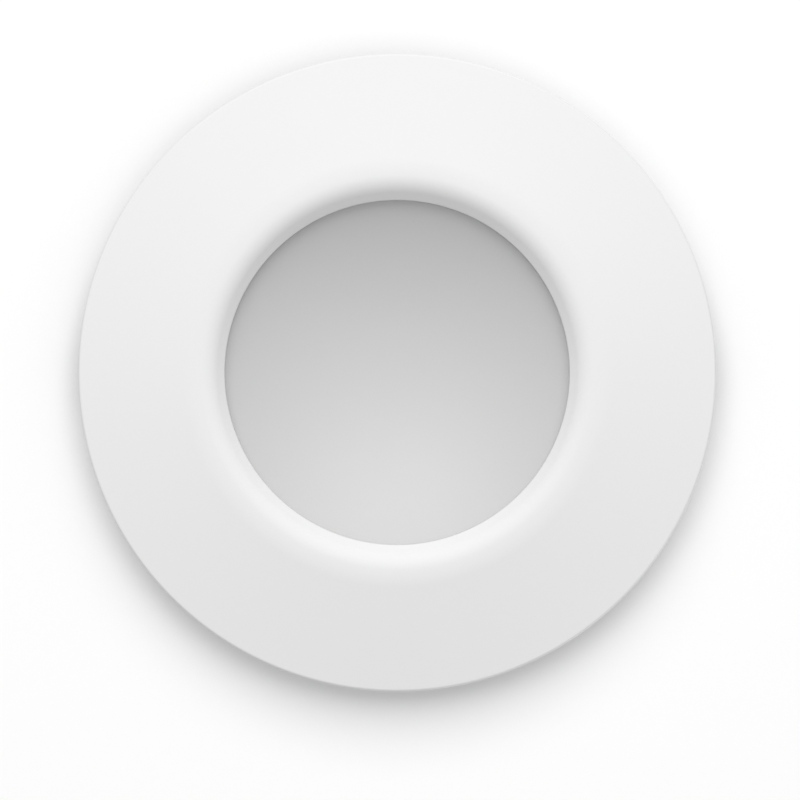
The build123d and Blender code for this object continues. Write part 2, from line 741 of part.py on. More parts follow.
def biarc_joint(p0, t0, p1, t1):
    """Middle point and tangent of the two arcs that join two points and meet both tangents."""
    chord = p1 - p0
    both = chord.dot(t0 + t1)
    bend = 2 * (1 - t0.dot(t1))
    reach = (math.sqrt(both * both + bend * chord.dot(chord)) - both) / bend
    before, after = p0 + t0 * reach, p1 - t1 * reach
    return (before + after) / 2, (after - before).normalized()


def clip_spring(turn):
    """Torsion spring round the pin: a leg on the bracket, the coil, and a leg on top of the arm."""
    side = radial_plane(turn)
    back = bracket_face + wire_r + TOUCH - pin_x
    first = tangent_turn(back, LEG_BACK, coil_r, -1)
    last = tangent_turn(LEG_ARM, ARM_T / 2 + wire_r + TOUCH, coil_r, 1) - tilt
    spare = (first - last + math.pi) % (2 * math.pi) - math.pi
    sweep_turn = 2 * math.pi * COIL_TURNS + spare
    half_w = coil_pitch * sweep_turn / (4 * math.pi)
    steps = 4 * COIL_TURNS
    along = Vector(math.cos(tilt), -math.sin(tilt), 0)
    above = Vector(math.sin(tilt), math.cos(tilt), 0)

    def coil_point(share):
        """Point and direction on the coil, in the side plane about the pin, where both ends run flat."""
        t = first - sweep_turn * share
        rise = 0.0 if share in (0.0, 1.0) else -coil_pitch / (2 * math.pi)
        place = Vector(coil_r * math.cos(t), coil_r * math.sin(t), half_w * (1 - 2 * share))
        run = Vector(coil_r * math.sin(t), -coil_r * math.cos(t), rise)
        return place, run.normalized()

    def world(v):
        """Point of the side plane about the pin, in the light's frame."""
        return side.from_local_coords(Vector(pin_x, pin_z, 0) + v)

    stops = [coil_point(i / steps) for i in range(steps + 1)]
    leg_end = along * LEG_ARM + above * (ARM_T / 2 + wire_r + TOUCH) + Vector(0, 0, -half_w)
    with BuildPart() as spring:
        with BuildLine() as path:
            Line(world(Vector(back, LEG_BACK, half_w)), world(stops[0][0]))
            for (p0, t0), (p1, t1) in zip(stops, stops[1:]):
                joint, run = biarc_joint(p0, t0, p1, t1)
                TangentArc(world(p0), world(joint), tangent=world(t0) - world(Vector()))
                TangentArc(world(joint), world(p1), tangent=world(run) - world(Vector()))
            Line(world(stops[-1][0]), world(leg_end))
        with BuildSketch(Plane(origin=path.line @ 0, z_dir=path.line % 0)):
            Circle(wire_r)
        sweep()
    return spring.part, path.wire()


def least_gap(line):
    """Least gap of a wire to itself, between points more than half a coil apart along it."""
    count = 700
    points = [line @ (i / count) for i in range(count + 1)]
    skip = int(math.pi * coil_r / line.length * count)
    pairs = ((p - q).length for i, p in enumerate(points) for q in points[i + skip:])
    return min(pairs) - WIRE_D


sides = (("right", 0), ("left", 180))
for side_name, side_turn in sides:
    save(clip_bracket(side_turn), f"clip_bracket_{side_name}")
    save(clip_pin(side_turn), f"clip_pin_{side_name}")
    save(clip_arm(side_turn), f"clip_arm_{side_name}")
    save(clip_cap(side_turn), f"clip_cap_{side_name}")
    spring_part, spring_line = clip_spring(side_turn)
    save(spring_part, f"clip_spring_{side_name}")
    tube = math.pi * wire_r**2 * spring_line.length
    print(f"clip_spring_{side_name}: least gap {least_gap(spring_line):.3f} mm")
    print(f"clip_spring_{side_name}: volume {spring_part.volume:.2f}, tube {tube:.2f} mm3")

with BuildPart() as clip_screws:
    for side_name, side_turn in sides:
        add(cross_screws(bracket_plane(side_turn), clip_spots, CLIP_SCREW_L))
save(clip_screws.part, "clip_screws")

# Leads that run from the driver board, down the heat sink's tube, to the light board's connector
lead_low_z = board_z - LEAD_IN_CONNECTOR
lead_high_z = driver_top_z + LEAD_PAST_BOARD
for lead_name, lead_spot in zip(("positive", "negative"), lead_spots):
    with BuildPart() as led_lead:
        extrude(rounds(level(lead_low_z), [lead_spot], LEAD_D / 2), amount=lead_high_z - lead_low_z)
    save(led_lead.part, f"led_lead_{lead_name}")

# Driver box: a tray that stands on the heat sink's posts
window_z = box_top_z - WINDOW_DROP - WINDOW_H / 2
with BuildPart() as driver_base:
    extrude(box_outline(box_z, 0), amount=box_top_z - box_z)
    fillet(driver_base.faces().sort_by(Axis.Z)[0].edges(), BOX_FOOT_ROUND)
    extrude(box_outline(floor_z, BOX_WALL), amount=box_top_z - floor_z, mode=Mode.SUBTRACT)
    extrude(rounds(level(floor_z), board_post_spots, BOARD_POST_D / 2), amount=BOARD_POST_H)
    extrude(rounds(level(floor_z), cover_spots, COVER_BOSS_D / 2), amount=box_top_z - floor_z)
    extrude(rounds(level(floor_z), post_spots, screw_hole_r), amount=-BOX_FLOOR, mode=Mode.SUBTRACT)
    tube_hole = rounds(level(floor_z), [(0, 0)], LEAD_TUBE_D / 2 + SLIP)
    extrude(tube_hole, amount=-BOX_FLOOR, mode=Mode.SUBTRACT)
    board_hole = DRIVER_BOARD_SCREW_L - DRIVER_BOARD_T + THREAD_SPARE
    post_holes = rounds(level(driver_board_z), board_post_spots, thread_r)
    extrude(post_holes, amount=-board_hole, mode=Mode.SUBTRACT)
    cover_hole = COVER_SCREW_L - COVER_T + THREAD_SPARE
    extrude(rounds(level(box_top_z), cover_spots, thread_r), amount=-cover_hole, mode=Mode.SUBTRACT)
    end_wall = Plane.XZ.offset(box_end)
    inlet_hole = rounds(end_wall, [(0, inlet_z)], GROMMET_NECK_D / 2 + TOUCH)
    extrude(inlet_hole, amount=-BOX_WALL, mode=Mode.SUBTRACT)
    with BuildSketch(end_wall):
        with Locations((-LATCH_X, window_z), (LATCH_X, window_z)):
            Rectangle(LATCH_W + 2 * APART, WINDOW_H)
    extrude(amount=-BOX_WALL, mode=Mode.SUBTRACT)
save(driver_base.part, "driver_base")

driver_base_screws = cross_screws(level(floor_z), post_spots, BASE_SCREW_L)
save(driver_base_screws, "driver_base_screws")

# Driver board and what is soldered to it
pin_y = TERMINAL_FRONT + PORT_DEEP - CONTACT_PIN
contact_spots = [(x, pin_y) for x in poles]
with BuildPart() as driver_board:
    extrude(box_outline(driver_board_z, BOX_WALL + DROP_IN, DRIVER_BOARD_FRONT), amount=DRIVER_BOARD_T)
    notches = rounds(level(driver_board_z), cover_spots, COVER_BOSS_D / 2 + DROP_IN)
    extrude(notches, amount=DRIVER_BOARD_T, mode=Mode.SUBTRACT)
    holes = rounds(level(driver_board_z), board_post_spots, screw_hole_r)
    extrude(holes, amount=DRIVER_BOARD_T, mode=Mode.SUBTRACT)
    holes = rounds(level(driver_board_z), lead_spots, lead_hole_r)
    extrude(holes, amount=DRIVER_BOARD_T, mode=Mode.SUBTRACT)
    holes = rounds(level(driver_board_z), contact_spots, CONTACT_PIN)
    extrude(holes, amount=DRIVER_BOARD_T, mode=Mode.SUBTRACT)
save(driver_board.part, "driver_board")

driver_board_screws = cross_screws(level(driver_top_z), board_post_spots, DRIVER_BOARD_SCREW_L)
save(driver_board_screws, "driver_board_screws")

with BuildPart() as transformer_core:
    with BuildSketch(Plane.XZ.offset(-CORE_AT)):
        with Locations((0, driver_top_z + CORE_Z / 2)):
            Rectangle(CORE_X, CORE_Z)
        core_window = (CORE_X - 4 * CORE_LEG) / 2
        window_mid = CORE_LEG + core_window / 2
        with Locations((-window_mid, driver_top_z + CORE_Z / 2), (window_mid, driver_top_z + CORE_Z / 2)):
            Rectangle(core_window, CORE_Z - 2 * CORE_YOKE, mode=Mode.SUBTRACT)
    extrude(amount=CORE_Y / 2, both=True)
save(transformer_core.part, "transformer_core")

with BuildPart() as transformer_winding:
    winding_h = CORE_Z - 2 * CORE_YOKE - 2 * SLIP
    with BuildSketch(level(driver_top_z + CORE_Z / 2 - winding_h / 2)):
        with Locations((0, CORE_AT)):
            RectangleRounded(2 * (CORE_LEG + core_window - SLIP), CORE_Y + 2 * WINDING_OUT, WINDING_OUT)
            Rectangle(2 * (CORE_LEG + SLIP), CORE_Y + 2 * SLIP, mode=Mode.SUBTRACT)
    extrude(amount=winding_h)
save(transformer_winding.part, "transformer_winding")

with BuildPart() as smoothing_capacitor:
    with BuildSketch(Plane.XZ.offset(CAPACITOR_L / 2 - CAPACITOR_AT[1])):
        with Locations((CAPACITOR_AT[0], driver_top_z + CAPACITOR_D / 2)):
            Circle(CAPACITOR_D / 2)
    extrude(amount=-CAPACITOR_L)
    fillet(smoothing_capacitor.edges().filter_by(GeomType.CIRCLE), PART_ROUND)
save(smoothing_capacitor.part, "smoothing_capacitor")

with BuildPart() as film_capacitor:
    with BuildSketch(level(driver_top_z)):
        with Locations(FILM_AT):
            Rectangle(FILM_X, FILM_Y)
    extrude(amount=FILM_Z)
    fillet(film_capacitor.edges().filter_by(Axis.Z), PART_ROUND)
save(film_capacitor.part, "film_capacitor")

with BuildPart() as output_choke:
    extrude(rounds(level(driver_top_z), [CHOKE_AT], CHOKE_D / 2 - CHOKE_RIM / 2), amount=CHOKE_H)
    extrude(rounds(level(driver_top_z), [CHOKE_AT], CHOKE_D / 2), amount=CHOKE_RIM)
    extrude(rounds(level(driver_top_z + CHOKE_H - CHOKE_RIM), [CHOKE_AT], CHOKE_D / 2), amount=CHOKE_RIM)
save(output_choke.part, "output_choke")

with BuildPart() as driver_chips:
    with BuildSketch(level(driver_top_z)):
        with Locations(BRIDGE_AT):
            Rectangle(BRIDGE_X, BRIDGE_Y)
        with Locations(CONTROL_AT):
            Rectangle(CONTROL_X, CONTROL_Y)
    extrude(amount=DRIVER_CHIP_H)
save(driver_chips.part, "driver_chips")

with BuildPart() as fuse_link:
    with BuildSketch(Plane.YZ.offset(FUSE_AT[0] - FUSE_L / 2)):
        with Locations((FUSE_AT[1], driver_top_z + FUSE_D / 2)):
            Circle(FUSE_D / 2)
    extrude(amount=FUSE_L)
    fillet(fuse_link.edges().filter_by(GeomType.CIRCLE), PART_ROUND)
save(fuse_link.part, "fuse_link")

# Terminal block: a port under each button, with a brass contact on the port's floor
port_low_z = driver_top_z + PORT_FLOOR
port_high_z = port_low_z + PORT_SIZE
button_y = TERMINAL_FRONT + BUTTON_AT
button_low_z = port_high_z + BUTTON_TRAVEL + APART
with BuildPart() as terminal_block:
    with BuildSketch(level(driver_top_z)):
        with Locations((0, (TERMINAL_FRONT + TERMINAL_BACK) / 2)):
            Rectangle(TERMINAL_W, TERMINAL_BACK - TERMINAL_FRONT)
    extrude(amount=TERMINAL_H)
    fillet(terminal_block.edges().filter_by(Axis.Z), PART_ROUND)
    with BuildSketch(Plane.XZ.offset(-TERMINAL_FRONT)):
        with Locations(*[(x, port_low_z + PORT_SIZE / 2) for x in poles]):
            Rectangle(PORT_SIZE, PORT_SIZE)
    extrude(amount=-PORT_DEEP, mode=Mode.SUBTRACT)
    with BuildSketch(level(terminal_top_z)):
        with Locations(*[(x, button_y) for x in poles]):
            Rectangle(BUTTON_X + 2 * BUTTON_FIT, BUTTON_Y + 2 * BUTTON_FIT)
    extrude(amount=port_high_z - terminal_top_z, mode=Mode.SUBTRACT)
    holes = rounds(level(port_low_z), contact_spots, CONTACT_PIN)
    extrude(holes, amount=-PORT_FLOOR, mode=Mode.SUBTRACT)
save(terminal_block.part, "terminal_block")

with BuildPart() as terminal_contacts:
    contact_l = PORT_DEEP - 2 * SLIP
    with BuildSketch(level(port_low_z)):
        with Locations(*[(x, TERMINAL_FRONT + PORT_DEEP / 2) for x in poles]):
            Rectangle(CONTACT_W, contact_l)
    extrude(amount=CONTACT_T)
    with BuildSketch(level(port_low_z)):
        with Locations(*contact_spots):
            Rectangle(CONTACT_PIN, CONTACT_PIN)
    extrude(amount=driver_board_z - port_low_z - LEAD_PAST_BOARD)
save(terminal_contacts.part, "terminal_contacts")

for button_name, button_x in zip(("live", "earth", "neutral"), poles):
    with BuildPart() as terminal_button:
        with BuildSketch(level(button_low_z)):
            with Locations((button_x, button_y)):
                Rectangle(BUTTON_X, BUTTON_Y)
        extrude(amount=terminal_top_z + BUTTON_PROUD - button_low_z)
        fillet(terminal_button.faces().sort_by(Axis.Z)[-1].edges(), PART_ROUND)
    save(terminal_button.part, f"terminal_button_{button_name}")

# Cable inlet: a rubber grommet in the end wall
with BuildPart() as inlet_grommet:
    wall_in = -box_end + BOX_WALL
    with BuildSketch(Plane.YZ):
        with BuildLine():
            Polyline(
                (-box_end - GROMMET_FLANGE_T, inlet_z + CABLE_D / 2),
                (-box_end - GROMMET_FLANGE_T, inlet_z + GROMMET_OUT_D / 2),
                (-box_end, inlet_z + GROMMET_OUT_D / 2),
                (-box_end, inlet_z + GROMMET_NECK_D / 2),
                (wall_in, inlet_z + GROMMET_NECK_D / 2),
                (wall_in, inlet_z + GROMMET_IN_D / 2),
                (wall_in + GROMMET_FLANGE_T, inlet_z + GROMMET_IN_D / 2),
                (wall_in + GROMMET_FLANGE_T, inlet_z + CABLE_D / 2),
                close=True,
            )
        make_face()
    revolve(axis=Axis((0, 0, inlet_z), (0, 1, 0)))
save(inlet_grommet.part, "inlet_grommet")

# Driver cover: a plate with a partition wall and two hinge lugs at its front edge
lug_places = (lug_in, -lug_in - LUG_W)
with BuildPart() as driver_cover:
    extrude(box_outline(box_top_z, 0, COVER_EDGE), amount=COVER_T)
    fillet(driver_cover.faces().sort_by(Axis.Z)[-1].edges(), COVER_ROUND)
    with BuildSketch(level(box_top_z)):
        with Locations((0, COVER_EDGE + PARTITION_T / 2)):
            Rectangle(2 * (box_flat - BOX_WALL - DROP_IN), PARTITION_T)
    extrude(amount=driver_top_z + APART - box_top_z)
    with BuildSketch(*[Plane.YZ.offset(x) for x in lug_places]):
        with Locations((hinge_y, hinge_z)):
            Circle(HINGE_R)
        with Locations((COVER_EDGE + PARTITION_T / 2, box_top_z + COVER_T / 2)):
            Rectangle(PARTITION_T, COVER_T)
        make_hull()
    extrude(amount=LUG_W)
    hinge_hole = rounds(Plane.YZ, [(hinge_y, hinge_z)], HINGE_PIN_D / 2 + PRESSED)
    extrude(hinge_hole, amount=box_r, both=True, mode=Mode.SUBTRACT)
    holes = rounds(level(cover_top_z), cover_spots, screw_hole_r)
    extrude(holes, amount=-COVER_T, mode=Mode.SUBTRACT)
save(driver_cover.part, "driver_cover")

driver_cover_screws = cross_screws(level(cover_top_z), cover_spots, COVER_SCREW_L)
save(driver_cover_screws, "driver_cover_screws")

# Terminal cover: a lid with a hinge barrel and two latch tabs that reach down over the end wall
barrel_half = lug_in - APART
latch_in = -box_end - APART
latch_out = latch_in - LATCH_T
latch_low_z = box_top_z - LATCH_DROP
with BuildPart() as terminal_cover:
    extrude(box_outline(box_top_z, 0, y_high=lid_edge), amount=COVER_T)
    fillet(terminal_cover.faces().sort_by(Axis.Z)[-1].edges(), COVER_ROUND)
    with BuildSketch(Plane.YZ):
        with Locations((hinge_y, hinge_z)):
            Circle(HINGE_R)
        with Locations((lid_edge - PARTITION_T / 2, box_top_z + COVER_T / 2)):
            Rectangle(PARTITION_T, COVER_T)
        make_hull()
    extrude(amount=barrel_half, both=True)
    latch_planes = [Plane.YZ.offset(x * LATCH_X) for x in (-1, 1)]
    with BuildSketch(*latch_planes):
        with BuildLine():
            Polyline(
                (-box_end + LATCH_T, box_top_z),
                (-box_end + LATCH_T, cover_top_z),
                (latch_out, cover_top_z),
                (latch_out, latch_low_z),
                (latch_in, latch_low_z),
                (latch_in, window_z - WINDOW_H / 2),
                (-box_end + LATCH_BITE, window_z - WINDOW_H / 4),
                (-box_end + LATCH_BITE, window_z),
                (latch_in, window_z + WINDOW_H / 2),
                (latch_in, box_top_z),
                close=True,
            )
        make_face()
    extrude(amount=LATCH_W / 2, both=True)
    hinge_hole = rounds(Plane.YZ, [(hinge_y, hinge_z)], HINGE_PIN_D / 2 + RUNNING)
    extrude(hinge_hole, amount=box_r, both=True, mode=Mode.SUBTRACT)
save(terminal_cover.part, "terminal_cover")

with BuildPart() as hinge_pin:
    extrude(rounds(Plane.YZ, [(hinge_y, hinge_z)], HINGE_PIN_D / 2), amount=lug_in + LUG_W, both=True)
save(hinge_pin.part, "hinge_pin")
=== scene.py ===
import json
import math

import bpy
import numpy as np
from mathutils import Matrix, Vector


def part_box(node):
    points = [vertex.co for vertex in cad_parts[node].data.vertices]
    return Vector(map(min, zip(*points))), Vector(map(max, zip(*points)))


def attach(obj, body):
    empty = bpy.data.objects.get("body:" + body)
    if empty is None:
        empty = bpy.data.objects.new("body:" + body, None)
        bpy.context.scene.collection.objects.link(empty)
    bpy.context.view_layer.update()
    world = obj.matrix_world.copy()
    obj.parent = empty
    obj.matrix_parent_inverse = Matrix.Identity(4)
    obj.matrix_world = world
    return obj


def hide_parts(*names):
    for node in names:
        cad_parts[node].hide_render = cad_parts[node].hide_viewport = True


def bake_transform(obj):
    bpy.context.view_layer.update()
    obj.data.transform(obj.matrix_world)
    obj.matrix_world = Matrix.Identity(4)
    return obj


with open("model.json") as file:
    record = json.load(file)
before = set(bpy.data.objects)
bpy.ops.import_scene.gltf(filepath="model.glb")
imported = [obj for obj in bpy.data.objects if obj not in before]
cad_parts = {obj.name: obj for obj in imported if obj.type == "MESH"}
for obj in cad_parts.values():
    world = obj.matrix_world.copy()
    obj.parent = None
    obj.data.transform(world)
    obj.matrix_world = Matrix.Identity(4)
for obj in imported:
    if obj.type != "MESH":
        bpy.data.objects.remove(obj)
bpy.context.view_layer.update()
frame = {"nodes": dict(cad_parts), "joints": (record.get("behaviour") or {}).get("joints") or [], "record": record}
scene = bpy.context.scene
MM = 0.001

# Places that the frame gives, in millimetres
joints = {joint["name"]: joint for joint in frame["joints"]}
mounts = {mount["name"]: mount for mount in frame["record"]["mounts"]}
PIN_X, PIN_Z = np.array(joints["right_clip_swing"]["pos_m"])[[0, 2]] / MM
INLET_Z = mounts["cable_inlet"]["pos_m"][2] / MM
LEDGE_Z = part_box("diffuser_seal")[0].z / MM
DIFFUSER_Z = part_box("diffuser")[0].z / MM
SKIRT_END_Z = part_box("heat_sink")[0].z / MM

# Bezel, millimetres
BEZEL_R = 45.0
BEZEL_EDGE_Z = -2.4
FACE_SLOPE = math.radians(13.0)
FUNNEL_SLOPE = math.radians(52.0)
LIP_R = 27.5
LIP_ROUND_OUT = 11.0
LIP_ROUND_IN = 3.0
OPENING_R = 24.25
SEAT_R = 27.35
SEAT_STEP = 0.6
SEAT_TOP_Z = SKIRT_END_Z - SEAT_STEP
BORE_R = 29.2
SPIGOT_R = 34.0
SPIGOT_TOP_Z = 9.0
SPIGOT_CHAMFER = 0.5
BEZEL_BACK_Z = -0.5
GASKET_IN_R = 36.75
GASKET_OUT_R = 42.25
GASKET_T = 1.3
CHANNEL_PLAY = 0.1

# Diffuser and seals
DIFFUSER_R = 27.05
DIFFUSER_T = 2.2
DIFFUSER_DISH = 7.0
DISH_ROUND_SHARE = 0.985
SEAL_IN_R = 24.75
RING_R = 28.25
RING_Z = 6.0
RING_SECTION_R = 0.9

# Sprung clips
ARM_L = 25.5
ARM_NECK = 15.0
ARM_HALF_W = 6.35
ARM_TIP_HALF_W = 3.8
ARM_HALF_T = 0.45
CAP_WALL = 0.8
CAP_LAP = 9.0
CAP_FIT = 0.03
CAP_NOSE = 0.7
CAP_MOUTH = 0.4
CAP_BEAD = 0.12
CAP_POWER = 6
CAP_REST_Z = 2.2
CAP_HALF_T = ARM_HALF_T + CAP_WALL
CAP_REACH = ARM_L + CAP_WALL
CAP_LEAN = math.atan2(CAP_HALF_T, CAP_REACH)
# An arm hangs so far below level that its cap's lower corner lies at CAP_REST_Z
ARM_TILT = math.asin((PIN_Z - CAP_REST_Z) / math.hypot(CAP_REACH, CAP_HALF_T)) - CAP_LEAN
WIRE_R = 0.6
COIL_R = 2.4
COIL_PITCH = 1.8
COIL_TURNS = 5
COIL_STEPS = 48
COIL_EASE_TURNS = 0.25
LEG_BACK_X = -2.55
LEG_BACK = 11.0
LEG_ARM = 14.0
LEG_ABOVE = 1.1

# Cable inlet
INLET_R = 3.8
GROMMET_NECK_R = 5.2
GROMMET_OUT_R = 6.5
GROMMET_IN_R = 6.2
GROMMET_RIM = 1.5
WALL_OUT_Y = -28.5
WALL_IN_Y = -26.7


def rounded_outline(corners, radii, steps=10, axis_ends=False):
    """Outline with every corner turned into an arc: the arc's centre lies on the corner's bisector at
    radius / sin(half angle), and its ends lie radius / tan(half angle) along the two sides. Gives the
    points and their outward normals. With axis_ends the first and last points stay single, on the axis."""
    p = np.asarray(corners, float)
    r = np.asarray(radii, float)
    before, after = np.roll(p, 1, 0) - p, np.roll(p, -1, 0) - p
    before /= np.linalg.norm(before, axis=1, keepdims=True)
    after /= np.linalg.norm(after, axis=1, keepdims=True)
    half = np.arccos(np.clip((before * after).sum(1), -1, 1)) / 2
    middle = before + after
    middle /= np.linalg.norm(middle, axis=1, keepdims=True)
    centre = p + middle * (r / np.sin(half))[:, None]
    reach = (r / np.tan(half))[:, None]
    start, end = p + before * reach - centre, p + after * reach - centre
    a0 = np.arctan2(start[:, 1], start[:, 0])
    swing = (np.arctan2(end[:, 1], end[:, 0]) - a0 + np.pi) % (2 * np.pi) - np.pi
    angle = a0[:, None] + swing[:, None] * np.linspace(0, 1, steps)
    arc = np.stack([np.cos(angle), np.sin(angle)], -1)
    points = centre[:, None] + r[:, None, None] * arc
    x, y = p.T
    sense = np.sign((x * np.roll(y, -1) - np.roll(x, -1) * y).sum())
    normals = arc * (np.sign(swing) * sense)[:, None, None]
    if axis_ends:
        ends = np.array([[0.0, np.sign(p[0, 1] - p[-1, 1])]])
        points = np.concatenate([p[:1], points[1:-1].reshape(-1, 2), p[-1:]])
        normals = np.concatenate([ends, normals[1:-1].reshape(-1, 2), -ends])
    points, normals = points.reshape(-1, 2), normals.reshape(-1, 2)
    apart = np.linalg.norm(points - np.roll(points, 1, 0), axis=1) > 1e-4
    return points[apart], normals[apart]


def grid_faces(rows, columns, wrap_rows=False):
    """Corner numbers of the four-sided faces of a grid of points whose rows are closed, row by row."""
    row = np.arange(rows if wrap_rows else rows - 1)[:, None]
    column = np.arange(columns)[None]
    here, below = row * columns, (row + 1) % rows * columns
    beside = (column + 1) % columns
    return np.stack([here + column, here + beside, below + beside, below + column], -1).reshape(-1, 4)


def surface(name, rings, poles=None, normals=None):
    """Mesh object from closed rings of points in millimetres, joined in order. The first and last ring close
    onto two poles where they are given, and otherwise onto each other. Faces are turned as one so that the
    enclosed volume is positive."""
    rows, around = rings.shape[:2]
    points = rings.reshape(-1, 3)
    quads = grid_faces(rows, around, wrap_rows=poles is None)
    j = np.arange(around)
    k, base = (j + 1) % around, (rows - 1) * around
    fans = np.zeros((0, 3), int)
    if poles is not None:
        first, last = np.full(around, len(points)), np.full(around, len(points) + 1)
        fans = np.concatenate([np.stack([k, j, first], -1), np.stack([base + j, base + k, last], -1)])
        points = np.concatenate([points, poles])
    corners = points[np.concatenate([quads[:, :3], quads[:, [0, 2, 3]], fans])] - points.mean(0)
    if np.einsum("ij,ij->i", corners[:, 0], np.cross(corners[:, 1], corners[:, 2])).sum() < 0:
        quads, fans = quads[:, ::-1], fans[:, ::-1]
    mesh = bpy.data.meshes.new(name)
    mesh.from_pydata((points * MM).tolist(), [], quads.tolist() + fans.tolist())
    mesh.polygons.foreach_set("use_smooth", np.ones(len(mesh.polygons), bool))
    if normals is not None:
        mesh.normals_split_custom_set_from_vertices(normals.tolist())
    mesh.update()
    piece = bpy.data.objects.new(name, mesh)
    scene.collection.objects.link(piece)
    return piece


def lathe(name, outline, turns=256, axis="Z", height=0.0):
    """Outline (radius, distance along the axis) carried round an axis: (r cos t, r sin t, a), or
    (r cos t, a, height + r sin t) for an axis along Y. Ends on the axis close to one point each."""
    profile, slope = outline
    t = np.linspace(0, 2 * np.pi, turns, endpoint=False)
    order = [0, 2, 1] if axis == "Y" else [0, 1, 2]
    shift = np.array([0, 0, height])
    on_axis = profile[0, 0] < 1e-9
    inner = slice(1, -1) if on_axis else slice(None)

    def turned(pairs):
        """Pairs (radius, along) carried round the axis."""
        wide, along = pairs[:, :1], np.repeat(pairs[:, 1:], turns, 1)
        return np.stack([wide * np.cos(t), wide * np.sin(t), along], -1)[..., order]

    normals = turned(slope[inner]).reshape(-1, 3)
    if not on_axis:
        return surface(name, turned(profile) + shift, normals=normals)
    poles, lean = profile[[0, -1]], slope[[0, -1]]
    none = np.zeros(2)
    poles = np.stack([none, none, poles[:, 1]], -1)[:, order] + shift
    normals = np.concatenate([normals, np.stack([none, none, lean[:, 1]], -1)[:, order]])
    return surface(name, turned(profile[inner]) + shift, poles, normals)


def put(piece, finish, *nodes, body="fixture"):
    """Gives a piece its finish, lets it stand for CAD nodes and makes it ride on a body."""
    piece.data.materials.append(finishes[finish])
    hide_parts(*nodes)
    if body:
        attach(piece, body)


# Finishes

def effect(name, inputs, outputs):
    """Empty shader group with named inputs and outputs."""
    tree = bpy.data.node_groups.new(name, "ShaderNodeTree")
    for label, kind, value in inputs:
        tree.interface.new_socket(label, in_out="INPUT", socket_type=kind).default_value = value
    for label, kind in outputs:
        tree.interface.new_socket(label, in_out="OUTPUT", socket_type=kind)
    return tree, tree.nodes.new("NodeGroupInput"), tree.nodes.new("NodeGroupOutput")


COLOUR, VALUE, VECTOR = "NodeSocketColor", "NodeSocketFloat", "NodeSocketVector"
SKIN_IN = [
    ("Colour", COLOUR, (0.8, 0.8, 0.8, 1)), ("Shade", COLOUR, (0.7, 0.7, 0.7, 1)),
    ("Grain", VALUE, 3000.0), ("Roughness", VALUE, 0.5), ("Spread", VALUE, 0.05),
    ("Stretch", VECTOR, (1, 1, 1)),
]
SKIN_OUT = [("Colour", COLOUR), ("Roughness", VALUE), ("Height", VALUE)]


def feed(tree, value, socket):
    """Links a value that is a socket, and sets one that is a number."""
    if hasattr(value, "is_output"):
        tree.links.new(value, socket)
    else:
        socket.default_value = value


def math_node(tree, kind, a, b, clamp=False):
    """Math node on two values, each a socket or a number."""
    node = tree.nodes.new("ShaderNodeMath")
    node.operation = kind
    node.use_clamp = clamp
    feed(tree, a, node.inputs[0])
    feed(tree, b, node.inputs[1])
    return node.outputs[0]


def mixed_colour(tree, share, first, second):
    """Two colours mixed by a share, which is a socket or a number."""
    node = tree.nodes.new("ShaderNodeMix")
    node.data_type = "RGBA"
    feed(tree, share, node.inputs["Factor"])
    tree.links.new(first, node.inputs["A"])
    tree.links.new(second, node.inputs["B"])
    return [output for output in node.outputs if output.type == "RGBA"][0]


def noise(tree, place, scale, detail, rough):
    """Noise value at a place, with its scale from a socket or a number."""
    node = tree.nodes.new("ShaderNodeTexNoise")
    tree.links.new(place, node.inputs["Vector"])
    feed(tree, scale, node.inputs["Scale"])
    node.inputs["Detail"].default_value = detail
    node.inputs["Roughness"].default_value = rough
    return node.outputs["Fac"]


def blotches(tree, fine, wide, fine_share, floor, gain):
    """Share from 0 to 1: two patterns mixed by a share, less a floor, times a gain."""
    small = math_node(tree, "MULTIPLY", fine, fine_share)
    large = math_node(tree, "MULTIPLY", wide, 1 - fine_share)
    lifted = math_node(tree, "SUBTRACT", math_node(tree, "ADD", small, large), floor)
    return math_node(tree, "MULTIPLY", lifted, gain, clamp=True)


def close_skin(tree, given, result, share, height):
    """Mixes the two colours by a share, spreads the roughness by it and puts the height out."""
    mixed = mixed_colour(tree, share, given.outputs["Colour"], given.outputs["Shade"])
    tree.links.new(mixed, result.inputs["Colour"])
    lean = math_node(tree, "SUBTRACT", share, 0.5)
    spread = math_node(tree, "MULTIPLY", lean, given.outputs["Spread"])
    rough = math_node(tree, "ADD", given.outputs["Roughness"], spread, clamp=True)
    tree.links.new(rough, result.inputs["Roughness"])
    tree.links.new(height, result.inputs["Height"])


def object_place(tree, stretch):
    """Object coordinates, drawn out along the axes by a stretch."""
    where = tree.nodes.new("ShaderNodeTexCoord")
    scale = tree.nodes.new("ShaderNodeVectorMath")
    scale.operation = "MULTIPLY"
    tree.links.new(where.outputs["Object"], scale.inputs[0])
    tree.links.new(stretch, scale.inputs[1])
    return scale.outputs[0]


def fine_skin():
    """Fine even texture of paint and moulded plastic, with faint wide clouds in the colour."""
    tree, given, result = effect("fine_skin", SKIN_IN, SKIN_OUT)
    place = object_place(tree, given.outputs["Stretch"])
    grain = noise(tree, place, given.outputs["Grain"], detail=3.0, rough=0.55)
    wide = noise(tree, place, scale=70.0, detail=2.0, rough=0.5)
    share = blotches(tree, grain, wide, fine_share=0.6, floor=0.3, gain=2.5)
    close_skin(tree, given, result, share, grain)
    return tree


